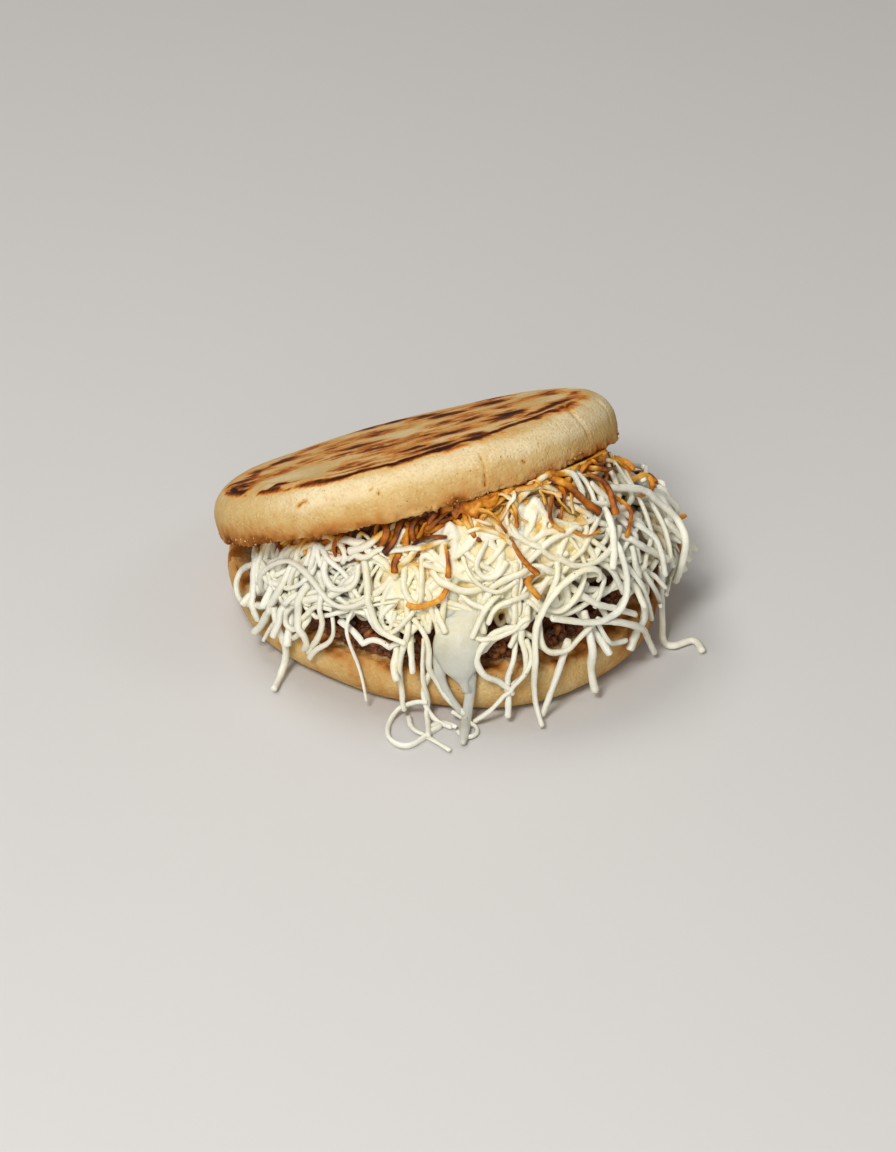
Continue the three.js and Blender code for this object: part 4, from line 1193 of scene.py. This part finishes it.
# Cracks, dents and creases of the upper half's side: marks of the camera's frame, half width and depth in
# millimetres, and how far they are browned.
SCARS = [
    ([(482, 457), (484, 466), (486, 476), (486, 486)], 0.28, 0.8, 0.5),
    ([(297, 505), (301, 502), (304, 501)], 0.6, 0.6, 0.7),
    ([(566, 404), (574, 413), (582, 422), (590, 437)], 0.8, 0.6, 0.12),
    ([(598, 399), (607, 408), (612, 421)], 1.0, 0.5, 0.08),
    ([(377, 493), (378, 494)], 0.45, 0.3, 0.7),
    ([(524, 460), (525, 462)], 0.4, 0.3, 0.7),
    ([(370, 488), (371, 489)], 0.4, 0.2, 0.5),
]


def upper_half():
    """The upper half: the same section turned over, so that its griddled face is on top, and tipped on to the hinge. It
    is golden in bells along its torn edge and its griddled face's edge, by layers of grain, and more towards its left
    end. Down its side it turns from pale cream to golden, a painted highlight at the top of the side and painted shade
    towards its lower edge. Its scars are bells across their lines, pushed in against the outward direction. Gives its
    grid and where that is torn."""
    points, rise, share = half_cake(lambda a: upper_rim(-a), lambda x, y: UPPER_THICKNESS + 0 * x, CROWN, 17)
    points = points * [1, -1, -1] + [0, 0, UPPER_THICKNESS]
    char = griddle_marks(points[..., 0], points[..., 1], 31) * (1 - ease(0.02, 0.16, rise))
    edge = 0.28 * bell(rise, 1.0, 0.16) * (share > 0.9) * (0.7 + layers(points, 8, 3, 81))
    # painted shade and highlight: the side grows golden from 0.3 to 0.9 of its rise, darker towards its lower edge, and
    # stays pale at its top
    golden = 0.04 + 0.17 * (rise == 0) + 0.4 * ease(0.3, 0.9, rise) + edge
    golden = golden + 0.12 * layers(points, 18, 2, 83) + 0.2 * ease(-12, -60, points[..., 0]) * (rise > 0)
    golden = golden + 0.30 * bell(rise, 0.03, 0.1) * (share > 0.96) * (0.6 + layers(points, 9, 2, 82))
    lid = points @ lid_frame.T + seat
    out = grid_out(lid)
    out = out * np.sign((out * (lid - seat)).sum(-1, keepdims=True))
    for marks, half, depth, tint in SCARS:
        gone = line_distance(lid, spots_on_grid(marks, lid))
        dent = bell(gone, 0, half * (1 + 0.5 * layers(lid, 2.5, 2, 84)))
        lid = lid - depth * dent[..., None] * out
        golden = golden + tint * dent
    ends = seat + lid_up * (UPPER_THICKNESS + CROWN), seat
    bread_piece("upper_bread", "upper_half", lid, ends, rise, share, golden, char)
    return lid, (rise > 0.86) & (share > 0.985)


lower_grid, lower_torn = lower_half()
lid_grid, lid_torn = upper_half()


# ---- The beef

# How much higher the beef is piled under the cheese than at its rim, how far in from the rim it is full, and the
# columns of its surface.
BEEF_MOUND, MOUND_SLOPE, BEEF_COLUMNS = 11, 15, 300


def beef_layer():
    """The beef's body: rows at shares of its spread and height, carried round its outline, piled up inwards and lumped
    by grain along the outward direction."""
    azimuth = angles(BEEF_COLUMNS)
    spread = beef_reach(azimuth) - 0.8
    turn = np.linspace(-1, 1, 15) * math.pi / 2
    rows = [(s, 0.0) for s in (0.1, 0.4, 0.7, 0.9)]
    rows += [(1 - 0.045 * (1 - math.cos(t)), 0.5 + 0.5 * math.sin(t)) for t in turn]
    rows += [(s, 1.0) for s in np.linspace(0.93, 0.05, 26)]
    share, rise = np.array(rows).T[:, :, None]
    radius = share * spread
    x, y = radius * np.cos(azimuth), radius * np.sin(azimuth)
    height = BEEF_HEIGHT - 0.9 + BEEF_MOUND * ease(0, MOUND_SLOPE, spread - radius)
    points = np.stack([x, y, cut_height(x, y) + GAP + rise * height], -1)
    push = (rise > 0.05) * (0.8 * layers(points, 4.2, 3, 91) + 0.5 * np.abs(layers(points, 2.0, 2, 95)))
    return points + push[..., None] * grid_out(points)


cloud, faces = closed(beef_layer(), [0, 0, LOWER_THICKNESS + GAP], [0, 0, LOWER_THICKNESS + BEEF_HEIGHT])
mince = put("beef_mince", cloud, faces, beef_skin, {"shade": 0.5 + 0.5 * layers(cloud, 5, 2, 98)})
dress(mince, "beef_filling")


def lumps(name, places, sizes, material, seed, columns=7, rows=5):
    """Small uneven lumps as one mesh: each is a ball of a few rings, stretched and turned its own way, whose radius
    swells and thins with grain."""
    rng = np.random.default_rng(seed)
    count = len(places)
    turn = ((np.arange(rows) + 1) / (rows + 1) * math.pi)[:, None]
    angle = angles(columns)
    rings = np.broadcast_arrays(np.sin(turn) * np.cos(angle), np.sin(turn) * np.sin(angle), -np.cos(turn))
    ball, (quads, low, high) = closed(np.stack(rings, -1), [0, 0, -1], [0, 0, 1])
    basis, _ = np.linalg.qr(rng.standard_normal((count, 3, 3)))
    basis = basis * np.where(np.linalg.det(basis) < 0, -1, 1)[:, None, None]
    stretch = np.stack([np.ones(count), rng.uniform(0.5, 1, count), rng.uniform(0.4, 0.8, count)], -1)
    shapes = ball[None] * (1 + 0.5 * grain(ball[None] * 1.3 + 10 * rng.random((count, 1, 3)), 1.0, seed)[..., None])
    shapes = shapes * (stretch * sizes[:, None])[:, None]
    cloud = (shapes @ basis + places[:, None]).reshape(-1, 3)
    shift = (np.arange(count) * len(ball))[:, None, None]
    faces = [(quads + shift).reshape(-1, 4), (np.concatenate([low, high]) + shift).reshape(-1, 3)]
    shade = np.repeat(rng.random(count), len(ball))
    numbers = {"shade": shade, "golden": 0.3 + 0.5 * shade, "crumb": 0 * shade + 0.5, "char": 0 * shade}
    return put(name, cloud, faces, material, numbers)


def mince_places(rng, count):
    """Places of the mince's lumps: over the outer band of the beef's side and the edge of its top."""
    azimuth = rng.uniform(-190, 60, count) * DEGREE
    spread = beef_reach(azimuth) - 0.6
    on_side = rng.random(count) < 0.55
    radius = np.where(on_side, spread - 0.6 + 0.4 * rng.random(count), spread - 14 * rng.random(count))
    x, y = radius * np.cos(azimuth), radius * np.sin(azimuth)
    height = np.where(on_side, rng.uniform(1.3, BEEF_HEIGHT - 0.4, count), BEEF_HEIGHT - 0.4)
    height = height + BEEF_MOUND * ease(0, MOUND_SLOPE, spread - radius)
    return np.stack([x, y, cut_height(x, y) + GAP + height], -1)


MINCE_LUMPS = 1900
rng = np.random.default_rng(5)
places = mince_places(rng, MINCE_LUMPS)
grains = lumps("beef_grains", places, 0.6 + 1.3 * rng.random(MINCE_LUMPS) ** 1.6, beef_skin, 6)
dress(grains, "beef_filling")

# Where bigger crumbs hang together on the upper half's torn edge, as marks of the camera's frame.
CRUMB_CLUSTERS = [
    (580, 455), (577, 457), (582, 453), (215, 536), (360, 532), (449, 497), (541, 462), (306, 545), (398, 517),
]


def crumbs(name, grid, torn, count, seed, clusters=()):
    """Crumbs on a torn edge: lumps at points of the edge picked at random, more where grain is high, and two bigger
    ones at each cluster."""
    rng = np.random.default_rng(seed)
    edge = grid[torn]
    likely = np.clip(0.4 + 1.4 * layers(edge, 9, 2, seed), 0.02, 1)
    places = edge[rng.choice(len(edge), count, p=likely / likely.sum())] + rng.normal(0, 0.25, (count, 3))
    sizes = 0.16 + 0.4 * rng.random(count) ** 3
    if clusters:
        spots = spots_on_grid(clusters, grid)
        places = np.concatenate([places] + [spots + rng.normal(0, far, spots.shape) for far in (0.5, 0.7)])
        sizes = np.concatenate([sizes, rng.uniform(0.3, 0.65, 2 * len(spots))])
    return lumps(name, places, sizes, bread, seed + 1, 6, 4)


dress(crumbs("upper_rim_crumbs", lid_grid, lid_torn, 420, 7, CRUMB_CLUSTERS), "upper_half")
dress(crumbs("lower_rim_crumbs", lower_grid, lower_torn, 260, 9), "lower_half")


# ---- The cheese's core, tongue and crust

# Where the cheese has melted, where its tongue keeps loose shreds away, and where its crust is darkest, as marks of the
# camera's frame.
MELT_MARKS = [
    (472, 548), (498, 572), (520, 596), (486, 600), (505, 545), (540, 560), (446, 604), (430, 622), (452, 574),
    (560, 530), (580, 545), (420, 580), (395, 562),
]
TONGUE_MARKS = [(459, 640), (457, 655), (455, 668)]
DARK_MARKS = [(400, 515), (416, 510), (436, 508), (378, 524), (355, 530), (640, 470)]
melt_at, tongue_at, dark_at = (drape(*spots_on_drape(marks)) for marks in (MELT_MARKS, TONGUE_MARKS, DARK_MARKS))
MELT_REACH, DARK_REACH, TONGUE_REACH = 11.0, 9.0, 6.5


def melted(points):
    """How far the cheese has melted: the sum of bells over the melted spots, at most 1."""
    return np.clip(0.7 * bells(points, melt_at, MELT_REACH), 0, 1)


def under_lid(points):
    """How far below the upper half's cut face points lie: the way from its seat against its upward direction."""
    return -((points - seat) @ lid_frame)[..., 2]


CORE_ROWS, CORE_COLUMNS = 64, 320


def core_rings():
    """The heap's inner mass: its side drawn in along its outward direction, least where the cheese has melted, lumped
    by grain in long wisps, and closed over the beef and under the upper half. With it comes the strength of the painted
    shade that darkens it: strong where the cheese has not melted, weaker and patchy where it has."""
    a, s = np.meshgrid(angles(CORE_COLUMNS), np.linspace(0.16, 1, CORE_ROWS))
    surface = heap_point(a, s)
    step = 0.01
    low = np.minimum(s, 1 - 2 * step)
    up = heap_point(a, low + 2 * step) - heap_point(a, low)
    out = unit(np.cross(heap_point(a + step, s) - heap_point(a - step, s), up))
    melt = melted(surface)
    holes = np.clip(0.25 + 1.3 * layers(surface, 5.5, 2, 57), 0, 1)
    inset = mix(CORE_INSET, 0.4 + 3.0 * holes, melt) + 8 * (1 - ease(0.3, 0.6, s))
    wisps = 1.3 * np.abs(layers(surface * [1, 1, 0.7], 4.0, 3, 51)) + 0.5 * layers(surface, 2.2, 2, 55)
    side = surface - (inset - mix(wisps, 0.8 * wisps, melt))[..., None] * out
    side[..., 2] = np.minimum(side[..., 2], lid_height(side[..., 0], side[..., 1]) - GAP)
    floor, roof = side[0] * [0.6, 0.6, 1], side[-1] * [0.6, 0.6, 1]
    roof[:, 2] = lid_height(roof[:, 0], roof[:, 1]) - GAP
    # strength of the painted shade: 0.9 where unmelted, 0.3 to 0.9 by the holes where melted
    painted_shade = mix(0.9, 0.3 + 0.6 * holes, melt)
    return np.concatenate([floor[None], side, roof[None]]), np.concatenate([painted_shade[:1], painted_shade, painted_shade[-1:]])


rings, painted_shade = core_rings()
cloud, faces = closed(rings, [0, 0, rings[0, :, 2].mean()], [0, 0, lid_height(0, 0) - GAP])
core_level = np.concatenate([[0.1], np.linspace(0.1, 1, CORE_ROWS), [1]])[:, None]
core_toast = ease(0.80, 0.97, core_level) * (0.35 + 0.3 * layers(rings, 6, 3, 58))
core_numbers = {
    "toast": with_poles(np.clip(core_toast, 0, 1)),
    "shade": np.full(len(cloud), 0.2),
    "melt": melted(cloud),
    "deep": with_poles(painted_shade),
}
dress(put("cheese_core", cloud, faces, cheese, core_numbers), "cheese_heap")

# The melted tongue and its drips, as marks of the camera's frame down their middles, each with its half width and
# half depth in millimetres.
POURED = [
    [(478, 598, 2.6, 1.2), (474, 610, 4.6, 1.8), (468, 621, 6.2, 2.4), (462, 634, 7.2, 2.8), (458, 646, 7.2, 2.9),
     (459, 659, 6.2, 2.6), (463, 669, 4.6, 2.2), (467, 679, 2.8, 1.7), (469, 690, 1.8, 1.4)],
    [(462, 640, 2.6, 1.8), (466, 658, 2.5, 1.7), (469, 674, 2.0, 1.5), (470, 690, 1.6, 1.3), (468, 706, 1.5, 1.2),
     (466, 722, 1.6, 1.2), (464, 736, 1.4, 1.1), (463, 744, 0.9, 0.8)],
    [(444, 640, 2.4, 1.6), (441, 658, 2.3, 1.5), (441, 672, 1.7, 1.3), (445, 686, 1.3, 1.1), (452, 699, 1.2, 1.0),
     (461, 710, 1.1, 1.0)],
    [(496, 572, 1.4, 1.2), (490, 590, 3.0, 1.6), (486, 606, 3.4, 1.7), (478, 622, 3.2, 1.7), (470, 636, 2.4, 1.4)],
    [(455, 580, 1.4, 1.2), (452, 600, 2.2, 1.5), (452, 618, 2.6, 1.6), (453, 634, 2.4, 1.5), (455, 648, 1.4, 1.2)],
    [(520, 560, 1.4, 1.2), (512, 578, 2.6, 1.6), (500, 594, 3.0, 1.6), (492, 612, 2.2, 1.4), (486, 626, 1.2, 1.0)],
]


FLOW_SIDES, FLOW_STRIDE = 28, 0.7  # of a flow's section, and between its sections in millimetres


def poured(name, flows, material):
    """Melted cheese as one mesh: an oval section carried down each flow's middle line, its width across the drape and
    its depth off it, blended between the marks, with slow waves of grain, closed by a pole at both ends."""
    clouds, faces, start = [], [], 0
    angle = angles(FLOW_SIDES)
    for flow in flows:
        flow = np.array(flow, float)
        azimuth, level = spots_on_drape(flow[:, :2])
        off = mix(-1.8, 1.2, ease(0.46, 0.24, level)) - 0.8 * ease(0.1, -0.2, level)
        out = outward(azimuth, level)
        line = np.concatenate([drape(azimuth, level) + off[:, None] * out, flow[:, 2:], out], 1)
        line = evenly(line, FLOW_STRIDE)
        spine, half, out = line[:, :3], line[:, 3:5], unit(line[:, 5:])
        ahead = unit(np.gradient(spine, axis=0))
        side = unit(np.cross(ahead, out))
        out = np.cross(side, ahead)
        across, off = half[:, :1] * np.cos(angle), half[:, 1:] * np.sin(angle)
        rings = spine[:, None] + side[:, None] * across[..., None] + out[:, None] * off[..., None]
        rings = rings + 0.35 * layers(rings, 6, 2, 71)[..., None] * out[:, None]
        rings[..., 2] = np.maximum(rings[..., 2], 0.05)
        tip = ahead[[0, -1]] * half[[0, -1], :1] * 0.8
        cloud, shape = closed(rings, spine[0] - tip[0], spine[-1] + tip[1])
        clouds.append(cloud)
        faces += [face + start for face in shape]
        start += len(cloud)
    cloud = np.concatenate(clouds)
    numbers = {"toast": 0 * cloud[:, 0], "shade": 0.5 + layers(cloud, 7, 2, 72), "melt": 0.5 * melted(cloud)}
    return put(name, cloud, faces, material, numbers)


def there_and_back(count):
    """Shares from 0 to 1 up a sheet's outer face and back down its inner one, and 1 for the outer face."""
    turn = np.concatenate([np.linspace(0, 1, count), np.linspace(1, 0, count)[1:-1]])
    return turn, np.arange(len(turn)) < count


CRUST_ENDS, CRUST_ARC = (-156, -2), 170  # azimuths of the crust's ends, and its length in millimetres


def crust(name, material):
    """The browned layer under the upper half's lip: a thin sheet carried round the heap's shoulder, its lower edge torn
    by grain into tongues, its outer face raised in wisps that run down it, thin at all its edges. Within 3 mm under
    the lip it is darker, a painted shadow."""
    across = np.linspace(0, 1, 300)
    azimuth = mix(*CRUST_ENDS, across) * DEGREE
    taper = np.clip(np.sin(math.pi * across) * 3, 0, 1)
    flat = np.stack([across * CRUST_ARC, 0 * across, 0 * across], -1)
    broad = mix(0.25, 1, ease(-58, -90, azimuth / DEGREE))  # narrower at the right
    low = 0.99 - taper * broad * (0.12 + 0.10 * layers(flat, 11, 3, 33) + 0.05 * layers(flat, 2.6, 2, 36))
    turn, outer = there_and_back(22)
    a, t = np.meshgrid(azimuth, turn, indexing="ij")
    level = mix(low[:, None], 1.0, t)
    body = np.sin(math.pi * t) ** 0.5
    wisp = layers(np.stack([across[:, None] * CRUST_ARC + 0 * t, 7 * t, 0 * t], -1), 2.6, 3, 39)
    off = np.where(outer, 0.9 + body * (1.3 + 1.2 * wisp), 0.7 - 0.9 * body)
    points = drape(a, level) + off[..., None] * outward(a, level)
    points[..., 2] = np.minimum(points[..., 2], lid_height(points[..., 0], points[..., 1]) - GAP)
    # the section is turned round, so that its faces point outwards
    cloud, faces = closed(points[:, ::-1], points[0].mean(0), points[-1].mean(0))
    burn = 0.42 + 0.4 * layers(cloud * [1, 1, 0.6], 9, 3, 43) + 0.12 * layers(cloud, 1.6, 2, 44)
    burn = burn - 0.14 * ease(-80, -55, np.arctan2(cloud[:, 1], cloud[:, 0]) / DEGREE)
    # the last term is a painted shadow: darker within 3 mm under the upper half's cut face
    burn = burn + 0.42 * bells(cloud, dark_at, DARK_REACH) + 0.25 * ease(3, 0.5, under_lid(cloud))
    numbers = {"toast": np.clip(burn, 0.12, 0.95), "shade": np.full(len(cloud), 0.4), "melt": np.ones(len(cloud))}
    return put(name, cloud, faces, material, numbers)


# ---- The shreds

# The heap's loose shreds lie in three layers, the inner one first: how far off the drape, how many, how long and how
# wide they are.
HEAP_LAYERS = [(-3.6, 1.1, 0.8, (1.4, 2.1)), (-1.9, 1.0, 0.9, (1.5, 2.2)), (1.0, 0.75, 1.25, (1.7, 2.3))]

# Groups of wandering shreds: how many, azimuths, levels, heading and its spread, lengths, bends and how far off the
# drape, then how toasted and how wide where that matters. The sides and the back of the heap, its foot, and the
# toasted ones under the upper half's lip.
OUTER_GROUPS = [
    (14, (26, 140), (0.35, 0.85), (0, 50), (22, 40), (30, 160), -2.6),
    (8, (-238, -195), (0.35, 0.85), (0, 50), (22, 40), (30, 160), -2.6),
    (5, (-150, 2), (0.24, 0.5), (0, 55), (20, 44), (80, 280), -0.6),
]
BROWNED_GROUPS = [
    (44, (-150, -72), (0.86, 0.99), (70, 50), (10, 26), (20, 150), 0.6, 0.6),
    (16, (-122, -90), (0.86, 0.98), (80, 40), (10, 24), (20, 120), 1.0, 0.95, (1.8, 2.8)),
    (18, (-72, -6), (0.91, 0.99), (60, 50), (10, 22), (30, 170), 0.8, 0.55),
    (14, (-150, -40), (0.84, 0.95), (70, 50), (14, 30), (20, 150), 0.4, 0.32),
]
FUSED_GROUP = (46, (-122, -56), (0.46, 0.84), (70, 80), (40, 80), (200, 420), -0.4, 0.0, (1.9, 2.6), True)


def heap_shreds(rng):
    """The heap's loose shreds: three layers at its left, in its middle and at its right, the outer groups, those that
    hang over the rim, and short ends. Those that come too near to the tongue are left out."""
    rows = []
    for off, many, longer, widths in HEAP_LAYERS:
        under = off < 0
        for count, azimuths, levels, heading, (short, long), bends in (
            (12 * many, (-156, -112), (0.52, 0.86), (0, 75), (44, 96), (60, 240)),
            (20 * many, (-116, -60), (0.46, 0.86 if under else 0.8), (90, 80), (36, 84), (80, 280)),
            (24 * (0.3 + 0.6 * many), (-66, 24), (0.54, 0.965), (-52, 55), (26, 66), (20, 200)),
        ):
            lengths = short * longer, long * longer
            rows += wandering(rng, round(count), azimuths, levels, heading, lengths, bends, off, 0.0, widths, under)
    for group in OUTER_GROUPS:
        rows += wandering(rng, *group)
    rows += hanging(rng, 6) + stubs(rng, 20, (-154, 18), (0.34, 0.8)) + stubs(rng, 22, (-44, 24), (0.5, 0.92))
    return [row for row in rows if np.linalg.norm(row["route"][:, None] - tongue_at, axis=-1).min() > TONGUE_REACH]


rng = np.random.default_rng(11)
laid, loose = laid_routes(), heap_shreds(rng)
browned = [row for group in BROWNED_GROUPS for row in wandering(rng, *group)]
settle(laid + loose + browned)

# Shreds that have run together where the cheese has melted: they lie through each other. How far a shred of that
# group, and one that lies under the others, has melted over its length to be one of them.
FUSED_MELT, UNDER_MELT = 0.4, 0.42
fused = [row for row in wandering(rng, *FUSED_GROUP) if melted(row["route"]).mean() > FUSED_MELT][::2]

VOXEL = 0.5  # of the skin of what has run together, in millimetres
SHEET_ENDS, SHEET_LEVELS = (-126, -46), (0.44, 0.9)  # azimuths and levels of the sheet that has run together


def melted_sheet():
    """The cheese that has run together behind the melted shreds: two faces of the drape, drawn in along its outward
    direction and waved by grain, which meet at the sheet's thin rim."""
    azimuth = np.linspace(*SHEET_ENDS, 200) * DEGREE
    turn, outer = there_and_back(80)
    a, t = np.meshgrid(azimuth, turn, indexing="ij")
    level = mix(*SHEET_LEVELS, t)
    surface = drape(a, level)
    across = (a - azimuth[0]) / (azimuth[-1] - azimuth[0])
    body = np.clip(4 * np.sin(math.pi * t), 0, 1) * np.clip(6 * np.sin(math.pi * across), 0, 1)
    wave = 2.2 * layers(surface * [1, 1, 0.7], 4.2, 3, 91) + 0.7 * layers(surface * [1, 1, 0.5], 1.8, 2, 93)
    off = -3.3 + np.where(outer, 0.8 * body + wave, wave - 1.6 * body)
    off = off - 5 * (1 - melted(surface)) * (1 - 0.4 * body)
    points = surface + off[..., None] * outward(a, level)
    return closed(points[:, ::-1], points[0].mean(0), points[-1].mean(0))


def run_together(piece, cloud, faces):
    """Takes a piece and a closed sheet together as one skin, in voxels, and rounds the skin where they meet: each point
    moves half the way to the middle of its neighbours, three times."""
    extra = put("melted_sheet", cloud, faces, cheese)
    both = bmesh.new()
    both.from_mesh(piece.data)
    both.from_mesh(extra.data)
    both.to_mesh(piece.data)
    both.free()
    bpy.data.objects.remove(extra, do_unlink=True)
    skin = piece.modifiers.new("skin", "REMESH")
    skin.mode, skin.voxel_size = "VOXEL", VOXEL * MM
    soft = piece.modifiers.new("soft", "SMOOTH")
    soft.factor, soft.iterations = 0.5, 3
    bpy.context.view_layer.update()
    whole = bpy.data.meshes.new_from_object(piece.evaluated_get(bpy.context.evaluated_depsgraph_get()))
    piece.modifiers.clear()
    piece.data = whole
    whole.materials.clear()
    whole.materials.append(cheese)
    whole.polygons.foreach_set("use_smooth", np.ones(len(whole.polygons), bool))
    cloud = points_of(whole)
    note(whole, "toast", np.zeros(len(cloud)))
    note(whole, "shade", np.clip(0.45 + 0.9 * layers(cloud, 5, 2, 92), 0, 1))


def lid_toast(cloud):
    """How golden pale shreds are near the upper half: most right under it, and in patches of grain further down where
    the cheese has melted."""
    below = under_lid(cloud)
    toast = 0.5 * ease(7, 0.5, below) * np.clip(0.5 + 0.9 * layers(cloud, 4.5, 2, 66), 0, 1)
    patches = np.clip(2.2 * layers(cloud, 4.5, 2, 67) - 0.5, 0, 1)
    return toast + 0.3 * melted(cloud) * ease(26, 12, below) * patches


def shreds_piece(name, rows, seed, node, slot, flatness=(0.64, 0.95), ragged=0.12, extra=None):
    """A piece of shreds, run together with an extra sheet if there is one, with how far each point has melted, a
    painted shade that grows with how deep it lies behind the heap's side, and how toasted it is."""
    piece = tubes(name, rows, cheese, seed, flatness, ragged)
    if extra:
        run_together(piece, *extra)
    cloud = points_of(piece.data)
    x, y, z = cloud.T
    column = side_column(x, y).astype(int) % SIDE_COLUMNS
    depth = SIDE_TABLE[column, np.clip(z, 0, SIDE_ROWS - 1).astype(int)] - np.hypot(x, y)
    melt = melted(cloud)
    if slot == "cheese":
        field = piece.data.attributes["toast"].data
        toast = np.empty(len(cloud), np.float32)
        field.foreach_get("value", toast)
        field.foreach_set("value", (toast + lid_toast(cloud)).astype(np.float32))
    note(piece.data, "melt", np.clip(0.75 * melt + 0.6 * np.clip(0.1 + layers(cloud, 13, 2, 68), 0, 1), 0, 1))
    # painted shade: darker the deeper a point lies behind the heap's side, more so where melted
    note(piece.data, "deep", (0.55 + 0.3 * melt) * ease(0.6, 4.0, depth))
    dress(piece, node)


dress(poured("melted_tongue", POURED, melted_cheese), "cheese_heap")
dress(crust("browned_crust", cheese), "browned_cheese")

TOASTED = 0.3  # a shred at least this toasted is one of the browned cheese
pale = [row for row in laid + loose + fused if row["toast"] < TOASTED]
pale.sort(key=lambda row: row["route"][:, 2].mean())  # from the table up
brown = [row for row in laid + browned if row["toast"] >= TOASTED]
soft = [row["under"] and melted(row["route"]).mean() > UNDER_MELT for row in pale]
soft_rows = [row for row, runs in zip(pale, soft) if runs]
crisp_rows = [row for row, runs in zip(pale, soft) if not runs]
third = len(crisp_rows) // 3
low_rows, middle_rows, high_rows = crisp_rows[:third], crisp_rows[third : 2 * third], crisp_rows[2 * third :]
shreds_piece("shreds_melted", soft_rows, 65, "cheese_heap", "cheese", extra=melted_sheet())
shreds_piece("shreds_low", low_rows, 61, "cheese_heap", "cheese")
shreds_piece("shreds_middle", middle_rows, 62, "cheese_heap", "cheese")
shreds_piece("shreds_high", high_rows, 63, "cheese_heap", "cheese")
shreds_piece("shreds_toasted", brown, 64, "browned_cheese", "cheese_browned", (0.3, 0.6), 0.2)


# ---- Floor, light and camera

FLOOR_HALF, FLOOR_DROP = 6000, 0.05  # half the floor's side, and how far it lies below the table's height

corners = np.array([[-1, -1, 0], [1, -1, 0], [1, 1, 0], [-1, 1, 0]]) * FLOOR_HALF - [0, 0, FLOOR_DROP]
floor = put("studio_floor", corners, [np.array([[0, 1, 2, 3]])], paper_material())

# Round lamps: where each stands and the height it points to, in metres, its size, watts and colour.
LAMPS = [
    ("key_light", (-0.28, -0.84, 0.99), 0.04, 0.35, 10.5, (1.0, 0.985, 0.965)),
    ("top_light", (-0.35, 0.25, 1.1), 0.05, 0.5, 4.0, (1.0, 0.98, 0.95)),
    ("front_light", (-0.25, -1.19, 0.42), 0.04, 0.9, 2.9, (1.0, 0.965, 0.885)),
    ("side_light", (0.75, -0.25, 0.95), 0.05, 0.3, 0.7, (1.0, 0.98, 0.95)),
]
for name, (x, y, z), target, size, watts, colour in LAMPS:
    data = bpy.data.lights.new(name, "AREA")
    data.shape, data.size, data.energy, data.color = "DISK", size, watts, colour
    lamp = bpy.data.objects.new(name, data)
    lamp.location = x, y, z
    lamp.rotation_euler = math.atan2(math.hypot(x, y), z - target), 0, math.atan2(-y, -x) - math.pi / 2
    bpy.context.scene.collection.objects.link(lamp)

world = bpy.data.worlds.new("studio_air")
world.use_nodes = True
background = world.node_tree.nodes["Background"]
background.inputs["Color"].default_value = (1.0, 0.975, 0.92, 1)
background.inputs["Strength"].default_value = 0.23
bpy.context.scene.world = world
bpy.context.scene.view_settings.view_transform = "Standard"

SENSOR = 36
camera_data = bpy.data.cameras.new("camera")
camera_data.sensor_width = SENSOR
camera_data.lens = FOCAL / FRAME_HEIGHT * SENSOR
camera_data.clip_end = 50
camera = bpy.data.objects.new("camera", camera_data)
camera.location = camera_at * MM
camera.rotation_euler = (math.pi / 2 - CAMERA_DOWN, 0, 0)
bpy.context.scene.collection.objects.link(camera)
bpy.context.scene.camera = camera
